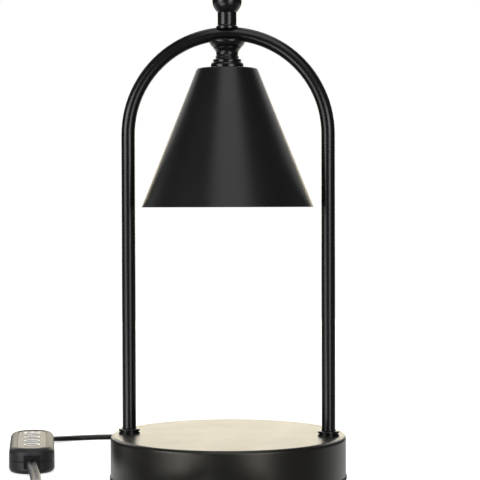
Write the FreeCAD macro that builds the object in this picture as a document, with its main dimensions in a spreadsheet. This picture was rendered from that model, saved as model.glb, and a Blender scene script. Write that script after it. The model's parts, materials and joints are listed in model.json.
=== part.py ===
import FreeCAD, Part
import math
import os
import re
import Sketcher
from FreeCAD import Placement, Rotation, Vector

# Candle warmer lamp: a jar candle stands on the weighted base, and a spotlight bulb in the
# shade above melts its wax. Millimetres, +Z up, origin on the floor under the middle of the
# base. The two legs of the arch stand on the X axis and the cord leaves the base at the
# back, towards +Y. The hand control, the plug and the coiled cord lie on the same floor.

sizes = {
    # base
    "base_radius": 76,
    "base_height": 26.3,
    "base_edge_radius": 2.4,
    "shell_wall": 1.2,
    "pad_thickness": 2,
    "pad_overhang": 0.5,
    "pad_edge_radius": 0.6,
    "cover_thickness": 1.2,
    "cover_gap": 0.4,
    "ballast_radius": 48,
    "ballast_thickness": 12,
    "ballast_screw_circle": 30,
    "boss_radius": 4,
    "boss_inset": 14,
    "base_screw_radius": 1.5,
    "base_screw_length": 8,
    "base_screw_head_radius": 3,
    "base_screw_head_height": 1.8,
    "pad_hole_gap": 0.6,
    "seat_gap": 0.05,
    # cord exit
    "exit_level": 9,
    "exit_neck_width": 10,
    "exit_neck_height": 7,
    "exit_flange_lip": 1.5,
    "exit_flange_thickness": 1.5,
    "exit_length": 24,
    "exit_tip_width": 8.2,
    "exit_tip_height": 4.9,
    # arch and its feet
    "leg_inset": 11.1,
    "leg_height": 193.5,
    "tube_radius": 4.4,
    "tube_wall": 1,
    "collar_wall": 2.5,
    "collar_foot_height": 0.8,
    "collar_groove_depth": 0.7,
    "collar_groove_height": 0.4,
    "collar_band_height": 1.7,
    "collar_band_round": 0.6,
    "collar_bevel_height": 0.35,
    "collar_throat_wall": 0.4,
    "collar_lip_height": 0.45,
    "stem_bore_radius": 2.2,
    "stem_grip": 15,
    "stem_drop": 8,
    "washer_radius": 7,
    "washer_thickness": 1,
    "post_nut_width": 11,
    "post_nut_height": 4,
    # coupling between the arch and the shade
    "coupling_height": 13.45,
    "coupling_lap": 0.2,
    "coupling_foot_radius": 9.35,
    "coupling_foot_height": 1,
    "coupling_foot_round": 0.4,
    "coupling_step_radius": 8.7,
    "coupling_low_radius": 7.5,
    "coupling_low_height": 2.3,
    "coupling_bead_height": 0.6,
    "coupling_bead_round": 0.4,
    "coupling_waist_radius": 7.1,
    "coupling_waist_height": 4.2,
    "coupling_high_radius": 8.9,
    "coupling_high_height": 8.1,
    "coupling_flare_radius": 9.3,
    "coupling_flare_height": 8.9,
    "coupling_flare_curve": 7,
    "coupling_rim_radius": 11.7,
    "coupling_rim_height": 12.2,
    "coupling_rim_round": 0.7,
    "cap_radius": 10.7,
    "cap_height": 4.8,
    "cap_foot_round": 0.7,
    "cap_flange_height": 2.1,
    "cap_shoulder_radius": 9.8,
    "cap_shoulder_height": 3.9,
    "cap_neck_radius": 9,
    "wire_hole_radius": 2.6,
    # shade and what holds it
    "shade_height": 89.2,
    "shade_rim_radius": 55.5,
    "shade_top_radius": 19.5,
    "shade_edge_radius": 1.6,
    "shade_wall": 0.9,
    "nipple_radius": 5,
    "nipple_bore_radius": 3.4,
    "nipple_rise": 13,
    "nipple_drop": 7.4,
    "lock_washer_radius": 8,
    "nut_width": 14,
    "nut_height": 3.6,
    # finial on top of the arch
    "neck_radius": 6.15,
    "neck_flare": 1,
    "neck_flare_height": 1.45,
    "neck_round": 0.4,
    "neck_lap": 1.3,
    "neck_height": 10.55,
    "ball_radius": 9.6,
    "ball_rise": 7.3,
    "stud_radius": 2,
    "stud_length": 16,
    # bulb holder
    "bracket_sheet": 1.2,
    "bracket_width": 28,
    "bracket_depth": 14,
    "bracket_drop": 14,
    "bracket_foot": 7,
    "socket_width": 30,
    "socket_depth": 19,
    "socket_height": 20,
    "socket_face_wall": 4.3,
    "socket_cavity_radius": 8.2,
    "socket_screw_spacing": 20.6,
    "socket_screw_radius": 1.2,
    "socket_screw_head_radius": 2.4,
    "socket_screw_head_height": 1.6,
    "socket_screw_length": 8,
    "pin_spacing": 10,
    "pin_radius": 1.55,
    "pin_head_radius": 2.5,
    "pin_head_height": 2.2,
    "pin_length": 7,
    "keyhole_gap": 0.3,
    "twist_angle": 40,
    "contact_width": 5,
    "contact_sheet": 0.4,
    "contact_gap": 0.3,
    "contact_reach": 5,
    "contact_riser": 8,
    # bulb
    "bulb_seat_gap": 0.3,
    "bulb_base_radius": 9.6,
    "bulb_base_length": 15,
    "bulb_base_chamfer": 1.2,
    "bulb_neck_radius": 8.2,
    "bulb_length": 41.7,
    "bulb_radius": 25,
    "bulb_rim_height": 2.8,
    "bowl_lip": 0.8,
    "bowl_curve_radius": 34,
    "bowl_wall": 1.2,
    "lens_thickness": 1.3,
    "capsule_radius": 4.2,
    "capsule_wall": 0.6,
    "capsule_stem_radius": 3,
    "capsule_stem_length": 4,
    "capsule_length": 21,
    "filament_radius": 0.9,
    "filament_length": 7,
    # cord, a flat twin flex
    "cord_width": 6.8,
    "cord_thickness": 3.5,
    "wire_radius": 1.4,
    "wire_bend_radius": 4,
    "wire_clearance": 2,
    "wire_turn_start": 102,
    "wire_turn_end": 150,
    # hand control, lying face up
    "control_x": -140.7,
    "control_y": 45.5,
    "control_yaw": 103.3,
    "case_length": 98,
    "case_width": 30,
    "case_height": 17,
    "case_split": 8.4,
    "case_wall": 1.8,
    "case_foot_radius": 3,
    "case_crown_radius": 4.2,
    "case_seam": 0.35,
    "plate_margin": 5.3,
    "plate_thickness": 1.4,
    "plate_sunk": 0.4,
    "plate_gap": 0.2,
    "button_pitch": 17.55,
    "ring_radius": 5.4,
    "ring_wall": 0.85,
    "ring_proud": 0.3,
    "button_gap": 0.25,
    "button_sunk": 0.8,
    "button_flange_lip": 0.7,
    "button_flange_height": 1,
    "button_float": 0.3,
    "button_travel": 0.6,
    "button_stem_radius": 1.4,
    "button_stem_length": 1.4,
    "light_place": 34.9,
    "light_row_inset": 10.1,
    "light_radius": 1.05,
    "board_level": 5,
    "board_thickness": 1.6,
    "board_end_room": 12.2,
    "board_side_gap": 0.3,
    "board_post_radius": 2,
    "board_post_place": 17.5,
    "switch_width": 6,
    "switch_height": 3,
    "plunger_radius": 1.7,
    "switch_gap": 0.05,
    "case_boss_radius": 2.6,
    "case_boss_end_inset": 11.5,
    "case_boss_side_inset": 6.6,
    "case_screw_radius": 1,
    "case_screw_head_radius": 1.9,
    "case_screw_head_height": 1.2,
    "case_screw_length": 9,
    "sleeve_width": 10.5,
    "sleeve_height": 8,
    "sleeve_reach": 2.6,
    "sleeve_flange_lip": 1.2,
    "sleeve_flange_thickness": 1.5,
    # coil, its tie and the plug
    "coil_x": -64.1,
    "coil_y": -117.3,
    "coil_outer_radius": 46.5,
    "coil_inner_radius": 25.5,
    "coil_height": 7.2,
    "coil_edge_radius": 1.6,
    "tie_width": 12,
    "tie_thickness": 0.8,
    "tie_yaw": 215,
    "plug_x": 8.5,
    "plug_y": -128.5,
    "plug_yaw": 26,
    "plug_length": 40,
    "plug_grip_length": 24,
    "plug_width": 24,
    "plug_height": 14,
    "plug_shoulder_width": 21,
    "plug_shoulder_height": 12,
    "plug_tip_width": 8.4,
    "plug_tip_height": 5.2,
    "blade_spacing": 12.7,
    "blade_height": 6.35,
    "blade_thickness": 1.5,
    "blade_length": 16,
    "blade_nose": 1.6,
    "blade_hole_radius": 1.5,
}

doc = FreeCAD.newDocument("candle_warmer_lamp")
sheet = doc.addObject("Spreadsheet::Sheet", "Sizes")
for row, (name, size) in enumerate(sizes.items(), start=1):
    sheet.set(f"A{row}", name)
    sheet.set(f"B{row}", str(size))
    sheet.setAlias(f"B{row}", name)
doc.recompute()

subparts = []
# how closely two lengths or volumes agree when they are the same
hair = 1e-4


# ---- working with the sheet ----

def on_sheet(word):
    return f"Sizes.{word[0]}" if word[0] in sizes else word[0]


def linked(text):
    # an expression in plain size names, made to read the sheet
    return re.sub(r"[a-z_]\w*", on_sheet, text)


def value(text):
    result = sheet.evalExpression(linked(text))
    return float(getattr(result, "Value", result))


# heights above the floor, each worked out from what it stands on or hangs from
shell_foot = "pad_thickness"
cover_top = "(pad_thickness + cover_thickness)"
base_top = "(pad_thickness + base_height)"
shell_underside = f"({base_top} - shell_wall)"
shell_inner_radius = "(base_radius - shell_wall)"
leg_offset = "(base_radius - leg_inset)"
spring_line = f"({base_top} + leg_height)"
apex = f"({spring_line} + {leg_offset})"
tube_bore = "(tube_radius - tube_wall)"
stem_radius = f"({tube_bore} - seat_gap)"
coupling_top = f"({apex} - tube_radius + coupling_lap)"
coupling_foot = f"({coupling_top} - coupling_height)"
shade_top = f"({coupling_foot} - cap_height)"
shade_rim = f"({shade_top} - shade_height)"
shade_ceiling = f"({shade_top} - shade_wall)"
socket_top = f"({shade_ceiling} - bracket_drop)"
socket_face = f"({socket_top} - socket_height)"
bulb_seat = f"({socket_face} - bulb_seat_gap)"
neck_foot = f"({apex} + tube_radius - neck_lap)"
neck_top = f"({neck_foot} + neck_height)"
pin_head_foot = f"({bulb_seat} + pin_length - pin_head_height)"


# ---- sketches ----

def origin_item(body, role):
    return next(item for item in body.Origin.OriginFeatures if item.Role == role)


def sketch_on(body, name, plane="XY_Plane", lift=None):
    sketch = body.newObject("Sketcher::SketchObject", name)
    sketch.AttachmentSupport = (origin_item(body, plane), [""])
    sketch.MapMode = "FlatFace"
    if lift is not None:
        sketch.setExpression("AttachmentOffset.Base.z", linked(lift))
    return sketch


def hold(sketch, item, point, across=None, up=None):
    # pins a point of the sketch at expressions measured from the sketch's origin
    for axis, kind, text in ((-2, "DistanceX", across), (-1, "DistanceY", up)):
        if text is None:
            continue
        if text == "0":
            sketch.addConstraint(Sketcher.Constraint("PointOnObject", item, point, axis))
            continue
        number = sketch.addConstraint(Sketcher.Constraint(kind, -1, 1, item, point, value(text)))
        sketch.setExpression(f"Constraints[{number}]", linked(text))


def hold_radius(sketch, item, text):
    number = sketch.addConstraint(Sketcher.Constraint("Radius", item, value(text)))
    sketch.setExpression(f"Constraints[{number}]", linked(text))


def arc_between(start, end, radius, turn):
    # a Part arc under half a turn; turn is +1 when it bends to the left of its travel
    chord = end - start
    middle = (start + end) * 0.5
    rise = math.sqrt(max(radius ** 2 - (chord.Length / 2) ** 2, 0))
    left = Vector(-chord.y, chord.x, 0).normalize()
    centre = middle + left * (turn * rise)
    first, last = (start, end) if turn > 0 else (end, start)
    angles = [math.atan2(place.y - centre.y, place.x - centre.x) for place in (first, last)]
    return Part.ArcOfCircle(Part.Circle(centre, Vector(0, 0, 1), radius), *angles)


def outline(sketch, corners):
    # corners are (across, up) or (across, up, radius, turn): the edge that leaves such a
    # corner is an arc of that radius, to the left (+1) or the right (-1)
    places = [Vector(value(corner[0]), value(corner[1]), 0) for corner in corners]
    ends = []
    for number, corner in enumerate(corners):
        start, end = places[number], places[(number + 1) % len(places)]
        if len(corner) == 2:
            item = sketch.addGeometry(Part.LineSegment(start, end), False)
            ends.append((item, 1, 2))
            continue
        radius, turn = corner[2], corner[3]
        item = sketch.addGeometry(arc_between(start, end, value(radius), turn), False)
        ends.append((item, 1, 2) if turn > 0 else (item, 2, 1))
    for number, (item, first, last) in enumerate(ends):
        after, after_first = ends[(number + 1) % len(ends)][:2]
        sketch.addConstraint(Sketcher.Constraint("Coincident", item, last, after, after_first))
        hold(sketch, item, first, corners[number][0], corners[number][1])
        if len(corners[number]) > 2:
            hold_radius(sketch, item, corners[number][2])


def circle(sketch, across, up, radius):
    place = Vector(value(across), value(up), 0)
    item = sketch.addGeometry(Part.Circle(place, Vector(0, 0, 1), value(radius)), False)
    hold(sketch, item, 3, across, up)
    hold_radius(sketch, item, radius)


def rectangle(sketch, left, right, low, high):
    outline(sketch, [(left, low), (right, low), (right, high), (left, high)])


def half_circle(centre, radius, start):
    return Part.ArcOfCircle(Part.Circle(centre, Vector(0, 0, 1), radius), start, start + math.pi)


def stadium(sketch, length, width, up="0"):
    # an oblong with round ends, its long way across the sketch
    reach = f"(({length}) - ({width})) / 2"
    radius = f"({width}) / 2"
    centre_up, half_width, offset = value(up), value(radius), value(reach)
    right = Vector(offset, centre_up, 0)
    left = Vector(-offset, centre_up, 0)
    rise = Vector(0, half_width, 0)
    pieces = [
        Part.LineSegment(left - rise, right - rise),
        half_circle(right, half_width, -math.pi / 2),
        Part.LineSegment(right + rise, left + rise),
        half_circle(left, half_width, math.pi / 2),
    ]
    items = [sketch.addGeometry(piece, False) for piece in pieces]
    low = f"({up}) - {radius}"
    high = f"({up}) + {radius}"
    for number, item in enumerate(items):
        after = items[(number + 1) % 4]
        sketch.addConstraint(Sketcher.Constraint("Coincident", item, 2, after, 1))
    hold(sketch, items[0], 1, f"-{reach}", low)
    hold(sketch, items[1], 1, reach, low)
    hold(sketch, items[2], 1, reach, high)
    hold(sketch, items[3], 1, f"-{reach}", high)
    hold(sketch, items[1], 3, across=reach)
    hold(sketch, items[3], 3, across=f"-{reach}")


# ---- features ----

def new_body(label, keep=True):
    body = doc.addObject("PartDesign::Body", label)
    body.Label = label
    if keep:
        subparts.append(body)
    return body


def solve(feature):
    doc.recompute()
    return feature


def pad(body, sketch, length, up=True, middle=False):
    feature = body.newObject("PartDesign::Pad", sketch.Name + "Pad")
    feature.Profile = sketch
    feature.setExpression("Length", linked(length))
    feature.Reversed = not up
    feature.Midplane = middle
    return solve(feature)


def pocket(body, sketch, length=None, up=False, middle=False):
    # cuts against the sketch's normal, or along it when up is set; no length cuts through all
    before = body.Shape.Volume
    feature = body.newObject("PartDesign::Pocket", sketch.Name + "Pocket")
    feature.Profile = sketch
    if length is None:
        feature.Type = "ThroughAll"
    else:
        feature.setExpression("Length", linked(length))
    feature.Reversed = up
    feature.Midplane = middle
    solve(feature)
    if feature.Shape.Volume > before - hair:
        raise ValueError(f"{feature.Name} in {body.Label} cuts nothing")
    return feature


def ring_of(body, features, count):
    # repeats features evenly round the body's Z axis
    pattern = body.newObject("PartDesign::PolarPattern", features[-1].Name + "Ring")
    pattern.Originals = features
    pattern.Axis = (origin_item(body, "Z_Axis"), [""])
    pattern.Angle = 360
    pattern.Occurrences = count
    body.Tip = pattern
    return solve(pattern)


def turned(label, corners, keep=True):
    # a body of revolution about Z; corners are (radius, height)
    body = new_body(label, keep)
    sketch = sketch_on(body, label + "_profile", "XZ_Plane")
    outline(sketch, corners)
    feature = body.newObject("PartDesign::Revolution", label + "_turned")
    feature.Profile = sketch
    feature.ReferenceAxis = (sketch, ["V_Axis"])
    feature.Angle = 360
    solve(feature)
    return body


def edges_at(feature, height):
    # the names of a feature's edges that lie level at a height
    level = value(height)
    names = []
    for number, edge in enumerate(feature.Shape.Edges, start=1):
        box = edge.BoundBox
        if max(abs(box.ZMin - level), abs(box.ZMax - level)) < hair:
            names.append(f"Edge{number}")
    return names


def rounded(body, feature, radius, height):
    fillet = body.newObject("PartDesign::Fillet", feature.Name + "Round")
    fillet.Base = (feature, edges_at(feature, height))
    fillet.setExpression("Radius", linked(radius))
    return solve(fillet)


def bevelled(body, feature, size, height):
    chamfer = body.newObject("PartDesign::Chamfer", feature.Name + "Bevel")
    chamfer.Base = (feature, edges_at(feature, height))
    chamfer.setExpression("Size", linked(size))
    return solve(chamfer)


def lofted(body, sketches):
    # straight flanks from each section to the next
    loft = body.newObject("PartDesign::AdditiveLoft", sketches[0].Name + "Loft")
    loft.Profile = sketches[0]
    loft.Sections = sketches[1:]
    loft.Ruled = True
    return solve(loft)


def place(item, x="0", y="0", z="0", yaw=None):
    for axis, text in (("x", x), ("y", y), ("z", z)):
        item.setExpression(f"Placement.Base.{axis}", linked(text))
    if yaw is not None:
        item.Placement.Rotation = Rotation(Vector(0, 0, 1), 1)
        item.setExpression("Placement.Rotation.Angle", linked(yaw))
    return item


def tube(label, radius, bore, height):
    body = new_body(label)
    sketch = sketch_on(body, label + "_ring")
    circle(sketch, "0", "0", radius)
    circle(sketch, "0", "0", bore)
    pad(body, sketch, height)
    return body


def hexagon(sketch, across, width):
    # flats face the sketch's up and down
    reach = f"({width}) / 2 / cos(30)"
    corners = []
    for angle in range(0, 360, 60):
        up = f"{reach} * sin({angle})" if angle % 180 else "0"
        corners.append((f"{across} + {reach} * cos({angle})", up))
    outline(sketch, corners)


# ---- base ----

def make_foot_pad():
    radius = "(base_radius + pad_overhang)"
    body = turned("foot_pad", [
        ("0", "0"),
        (f"{radius} - pad_edge_radius", "0", "pad_edge_radius", 1),
        (radius, "pad_edge_radius"),
        (radius, "pad_thickness"),
        ("0", "pad_thickness"),
    ])
    cut_base_screw_holes(body, "base_screw_head_radius + pad_hole_gap", "0", "pad_thickness")


def cut_base_screw_holes(body, radius, foot, depth):
    # holes round both screw circles: three reach the bosses and three reach the ballast
    for name, (ring, yaw) in base_screw_rings.items():
        sketch = sketch_on(body, f"{body.Label}_{name}_hole", lift=foot)
        circle(sketch, f"{ring} * cos({yaw})", f"{ring} * sin({yaw})", radius)
        hole = pocket(body, sketch, depth, up=True)
        ring_of(body, [hole], 3)


# the circle that each kind of base screw lies on, and the first screw's angle
base_screw_rings = {"boss": ("(base_radius - boss_inset)", 45), "ballast": ("ballast_screw_circle", 15)}


def make_bottom_cover():
    body = turned("bottom_cover", [
        ("0", shell_foot),
        (f"{shell_inner_radius} - cover_gap", shell_foot),
        (f"{shell_inner_radius} - cover_gap", cover_top),
        ("0", cover_top),
    ])
    cut_base_screw_holes(body, "base_screw_radius + seat_gap", shell_foot, "cover_thickness")


def make_base_screws():
    # pan heads under the cover, in the holes of the pad
    body = new_body("base_screws")
    for name, (ring, yaw) in base_screw_rings.items():
        x, y = f"{ring} * cos({yaw})", f"{ring} * sin({yaw})"
        head = sketch_on(body, f"{name}_screw_head", lift=f"{shell_foot} - base_screw_head_height")
        circle(head, x, y, "base_screw_head_radius")
        shank = sketch_on(body, f"{name}_screw_shank", lift=shell_foot)
        circle(shank, x, y, "base_screw_radius")
        pieces = [pad(body, head, "base_screw_head_height"), pad(body, shank, "base_screw_length")]
        ring_of(body, pieces, 3)


def make_ballast_weight():
    body = turned("ballast_weight", [
        ("0", cover_top),
        ("ballast_radius", cover_top),
        ("ballast_radius", f"{cover_top} + ballast_thickness - pad_edge_radius"),
        ("ballast_radius - pad_edge_radius", f"{cover_top} + ballast_thickness"),
        ("0", f"{cover_top} + ballast_thickness"),
    ])
    ring, yaw = base_screw_rings["ballast"]
    sketch = sketch_on(body, "ballast_tapped_hole", lift=cover_top)
    circle(sketch, f"{ring} * cos({yaw})", f"{ring} * sin({yaw})", "base_screw_radius + seat_gap")
    hole = pocket(body, sketch, "base_screw_length", up=True)
    ring_of(body, [hole], 3)


def make_base_bosses():
    # tubes welded under the shell's top, which take the cover's screws
    ring, yaw = base_screw_rings["boss"]
    body = new_body("base_bosses")
    sketch = sketch_on(body, "boss_ring", lift=cover_top)
    circle(sketch, f"{ring} * cos({yaw})", f"{ring} * sin({yaw})", "boss_radius")
    circle(sketch, f"{ring} * cos({yaw})", f"{ring} * sin({yaw})", "base_screw_radius + seat_gap")
    ring_of(body, [pad(body, sketch, f"{shell_underside} - {cover_top}")], 3)


def make_base_shell():
    # one drawn steel cup, upside down
    inner_edge = "(base_edge_radius - shell_wall)"
    body = turned("base_shell", [
        (shell_inner_radius, shell_foot),
        ("base_radius", shell_foot),
        ("base_radius", f"{base_top} - base_edge_radius", "base_edge_radius", 1),
        ("base_radius - base_edge_radius", base_top),
        ("0", base_top),
        ("0", shell_underside),
        ("base_radius - base_edge_radius", shell_underside, inner_edge, -1),
        (shell_inner_radius, f"{base_top} - base_edge_radius"),
    ])
    hole = sketch_on(body, "stem_hole", lift=base_top)
    circle(hole, leg_offset, "0", f"{stem_radius} + seat_gap")
    ring_of(body, [pocket(body, hole, "shell_wall + seat_gap")], 2)
    slot = sketch_on(body, "cord_hole", "XZ_Plane")
    stadium(slot, "exit_neck_width + 2 * seat_gap", "exit_neck_height + 2 * seat_gap", "exit_level")
    pocket(body, slot)


def make_cord_grommet():
    # the tapered strain relief, with a neck through the wall and a flange inside it
    body = new_body("cord_grommet")
    inner_face = f"(sqrt({shell_inner_radius} ^ 2 - (exit_neck_width / 2 + exit_flange_lip) ^ 2))"
    flange = sketch_on(body, "exit_flange", "XZ_Plane", f"-{inner_face}")
    flange_width = "exit_neck_width + 2 * exit_flange_lip"
    flange_height = "exit_neck_height + 2 * exit_flange_lip"
    stadium(flange, flange_width, flange_height, "exit_level")
    pad(body, flange, "exit_flange_thickness")
    neck = sketch_on(body, "exit_neck", "XZ_Plane", f"-{inner_face}")
    stadium(neck, "exit_neck_width", "exit_neck_height", "exit_level")
    pad(body, neck, f"base_radius - {inner_face}", up=False)
    shoulder = sketch_on(body, "exit_shoulder", "XZ_Plane", "-base_radius")
    shoulder_width = "exit_neck_width + exit_flange_lip"
    shoulder_height = "exit_neck_height + exit_flange_lip"
    stadium(shoulder, shoulder_width, shoulder_height, "exit_level")
    tip = sketch_on(body, "exit_tip", "XZ_Plane", "-(base_radius + exit_length)")
    stadium(tip, "exit_tip_width", "exit_tip_height", "exit_level")
    lofted(body, [shoulder, tip])


# ---- arch and what stands on the base ----

def make_arch_tube():
    body = new_body("arch_tube")
    route = sketch_on(body, "arch_route", "XZ_Plane")
    reach, low, high = value(leg_offset), value(base_top), value(spring_line)
    left_leg = Part.LineSegment(Vector(-reach, low, 0), Vector(-reach, high, 0))
    right_leg = Part.LineSegment(Vector(reach, high, 0), Vector(reach, low, 0))
    left = route.addGeometry(left_leg, False)
    bend = route.addGeometry(half_circle(Vector(0, high, 0), reach, 0), False)
    right = route.addGeometry(right_leg, False)
    route.addConstraint(Sketcher.Constraint("Coincident", left, 2, bend, 2))
    route.addConstraint(Sketcher.Constraint("Coincident", bend, 1, right, 1))
    hold(route, left, 1, f"-{leg_offset}", base_top)
    hold(route, left, 2, f"-{leg_offset}", spring_line)
    hold(route, right, 2, leg_offset, base_top)
    hold(route, right, 1, leg_offset, spring_line)
    hold(route, bend, 3, up=spring_line)
    section = sketch_on(body, "arch_section", lift=base_top)
    circle(section, f"-{leg_offset}", "0", "tube_radius")
    circle(section, f"-{leg_offset}", "0", tube_bore)
    pipe = body.newObject("PartDesign::AdditivePipe", "arch_bent")
    pipe.Profile = section
    pipe.Spine = route
    solve(pipe)
    wire_hole = sketch_on(body, "wire_hole", lift=apex)
    circle(wire_hole, "0", "0", "wire_hole_radius")
    pocket(body, wire_hole, "tube_radius + tube_wall")
    stud_hole = sketch_on(body, "stud_hole", lift=apex)
    circle(stud_hole, "0", "0", "stud_radius + seat_gap")
    pocket(body, stud_hole, "tube_radius + tube_wall", up=True)


def make_leg_stems():
    # short threaded tubes in the ends of the legs, which pass through the shell
    body = new_body("leg_stems")
    foot = f"({shell_underside} - stem_drop)"
    sketch = sketch_on(body, "stem_ring", lift=foot)
    circle(sketch, leg_offset, "0", stem_radius)
    circle(sketch, leg_offset, "0", "stem_bore_radius")
    ring_of(body, [pad(body, sketch, f"{base_top} + stem_grip - {foot}")], 2)


def make_post_collar(side, sign):
    # a thin foot, a groove, a rounded band and a bevel up to a lip round the tube
    bore = "(tube_radius + seat_gap)"
    rim = "(tube_radius + collar_wall)"
    groove = f"({rim} - collar_groove_depth)"
    throat = "(tube_radius + collar_throat_wall)"
    band_foot = "(collar_foot_height + collar_groove_height)"
    band_top = f"({band_foot} + collar_band_height)"
    bevel_top = f"({band_top} + collar_bevel_height)"
    lip_top = f"({bevel_top} + collar_lip_height)"
    body = turned("post_collar_" + side, [
        (bore, "0"),
        (rim, "0"),
        (rim, "collar_foot_height"),
        (groove, "collar_foot_height"),
        (groove, band_foot),
        (f"{rim} - collar_band_round", band_foot, "collar_band_round", 1),
        (rim, f"{band_foot} + collar_band_round"),
        (rim, f"{band_top} - collar_band_round", "collar_band_round", 1),
        (f"{rim} - collar_band_round", band_top),
        (throat, bevel_top),
        (throat, lip_top),
        (bore, lip_top),
    ])
    place(body, x=f"{sign} * {leg_offset}", z=base_top)


def make_post_fasteners():
    washers = new_body("post_washers")
    ring = sketch_on(washers, "washer_ring", lift=f"{shell_underside} - washer_thickness")
    circle(ring, leg_offset, "0", "washer_radius")
    circle(ring, leg_offset, "0", f"{stem_radius} + seat_gap")
    ring_of(washers, [pad(washers, ring, "washer_thickness")], 2)
    nuts = new_body("post_nuts")
    flats = sketch_on(nuts, "nut_flats", lift=f"{shell_underside} - washer_thickness")
    hexagon(flats, leg_offset, "post_nut_width")
    circle(flats, leg_offset, "0", f"{stem_radius} + seat_gap")
    ring_of(nuts, [pad(nuts, flats, "post_nut_height", up=False)], 2)


# ---- coupling, finial and shade ----

def arch_saddle(name):
    # the space that the bent tube takes at the top of the arch
    saddle = doc.addObject("Part::Torus", name)
    saddle.setExpression("Radius1", linked(leg_offset))
    saddle.setExpression("Radius2", linked("tube_radius + seat_gap"))
    saddle.Placement.Rotation = Rotation(Vector(1, 0, 0), 90)
    saddle.setExpression("Placement.Base.z", linked(spring_line))
    return saddle


def saddled(label, blank):
    cut = doc.addObject("Part::Cut", label)
    cut.Label = label
    cut.Base = blank
    cut.Tool = arch_saddle(label + "_saddle")
    subparts.append(cut)
    return solve(cut)


def upright_curve(across, up):
    # the radius of an arc that spans this much across and up and stands upright at one end
    return f"(({across} ^ 2 + {up} ^ 2) / (2 * {across}))"


def make_arch_coupling():
    # a waisted spool under the top of the arch: a rounded foot band, a low bead, the waist,
    # a high bead and a flare up to a rounded rim
    bore = "(nipple_radius + seat_gap)"
    foot = coupling_foot
    band = "coupling_foot_radius"
    bead = "coupling_bead_round"
    band_top = f"({foot} + coupling_foot_height)"
    low = f"({foot} + coupling_low_height)"
    low_top = f"({low} + coupling_bead_height)"
    waist = f"({foot} + coupling_waist_height)"
    high = f"({foot} + coupling_high_height)"
    high_top = f"({high} + coupling_bead_height)"
    step_curve = upright_curve("(coupling_step_radius - coupling_low_radius)", f"({low} - {band_top})")
    lower_curve = upright_curve("(coupling_low_radius - coupling_waist_radius)", f"({waist} - {low_top})")
    upper_curve = upright_curve("(coupling_high_radius - coupling_waist_radius)", f"({high} - {waist})")
    bore_top = f"({shade_top} + nipple_rise + seat_gap)"
    blank = turned("coupling_blank", [
        (bore, foot),
        (f"{band} - coupling_foot_round", foot, "coupling_foot_round", 1),
        (band, f"{foot} + coupling_foot_round"),
        (band, f"{band_top} - coupling_foot_round", "coupling_foot_round", 1),
        (f"{band} - coupling_foot_round", band_top),
        ("coupling_step_radius", band_top, step_curve, -1),
        ("coupling_low_radius", low, bead, 1),
        ("coupling_low_radius", low_top, lower_curve, -1),
        ("coupling_waist_radius", waist, upper_curve, -1),
        ("coupling_high_radius", high, bead, 1),
        ("coupling_high_radius", high_top),
        ("coupling_flare_radius", f"{foot} + coupling_flare_height", "coupling_flare_curve", 1),
        ("coupling_rim_radius", f"{foot} + coupling_rim_height"),
        ("coupling_rim_radius", f"{coupling_top} - coupling_rim_round", "coupling_rim_round", 1),
        ("coupling_rim_radius - coupling_rim_round", coupling_top),
        ("wire_hole_radius", coupling_top),
        ("wire_hole_radius", bore_top),
        (bore, bore_top),
    ], keep=False)
    saddled("arch_coupling", blank)


def make_shade_cap():
    bore = "(nipple_radius + seat_gap)"
    shoulder_rise = "(cap_shoulder_height - cap_flange_height)"
    shoulder = upright_curve("(cap_radius - cap_shoulder_radius)", shoulder_rise)
    turned("shade_cap", [
        (bore, shade_top),
        ("cap_radius - cap_foot_round", shade_top, "cap_foot_round", 1),
        ("cap_radius", f"{shade_top} + cap_foot_round"),
        ("cap_radius", f"{shade_top} + cap_flange_height", shoulder, 1),
        ("cap_shoulder_radius", f"{shade_top} + cap_shoulder_height"),
        ("cap_neck_radius", f"{shade_top} + cap_shoulder_height"),
        ("cap_neck_radius", coupling_foot),
        (bore, coupling_foot),
    ])


def make_finial():
    hole = "(stud_radius + seat_gap)"
    flare = "(neck_radius + neck_flare)"
    blank = turned("neck_blank", [
        (hole, neck_foot),
        (flare, neck_foot),
        (flare, f"{neck_foot} + neck_flare_height", "neck_flare", -1),
        ("neck_radius", f"{neck_foot} + neck_flare_height + neck_flare"),
        ("neck_radius", f"{neck_top} - neck_round", "neck_round", 1),
        ("neck_radius - neck_round", neck_top),
        (hole, neck_top),
    ], keep=False)
    saddled("finial_neck", blank)
    stud_foot = f"({apex} + {tube_bore} - stud_radius / 2)"
    stud = doc.addObject("Part::Cylinder", "finial_stud")
    stud.Label = "finial_stud"
    stud.setExpression("Radius", linked("stud_radius"))
    stud.setExpression("Height", linked("stud_length"))
    place(stud, z=stud_foot)
    subparts.append(stud)
    flat_radius = "(sqrt(ball_radius ^ 2 - ball_rise ^ 2))"
    stud_top = f"({stud_foot} + stud_length + seat_gap)"
    turned("finial_ball", [
        (hole, neck_top),
        (flat_radius, neck_top, "ball_radius", 1),
        ("0", f"{neck_top} + ball_rise + ball_radius"),
        ("0", stud_top),
        (hole, stud_top),
    ])


def make_shade():
    # spun cone; the inner wall runs parallel to the outer one
    bore = "(nipple_radius + seat_gap)"
    slope = "((shade_rim_radius - shade_top_radius) / shade_height)"
    slant = f"(sqrt(1 + {slope} ^ 2))"
    step = f"(shade_wall * {slant})"
    edge_in = f"(shade_edge_radius * ({slant} - {slope}))"
    edge_down = f"({edge_in} / {slant})"
    ceiling_radius = f"(shade_top_radius + shade_wall * {slope} - {step})"
    edge_start = f"shade_top_radius + {edge_down} * {slope}"
    turned("shade", [
        (bore, shade_ceiling),
        (ceiling_radius, shade_ceiling),
        (f"shade_rim_radius - {step}", shade_rim),
        ("shade_rim_radius", shade_rim),
        (edge_start, f"{shade_top} - {edge_down}", "shade_edge_radius", 1),
        (f"shade_top_radius - {edge_in}", shade_top),
        (bore, shade_top),
    ])


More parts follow.
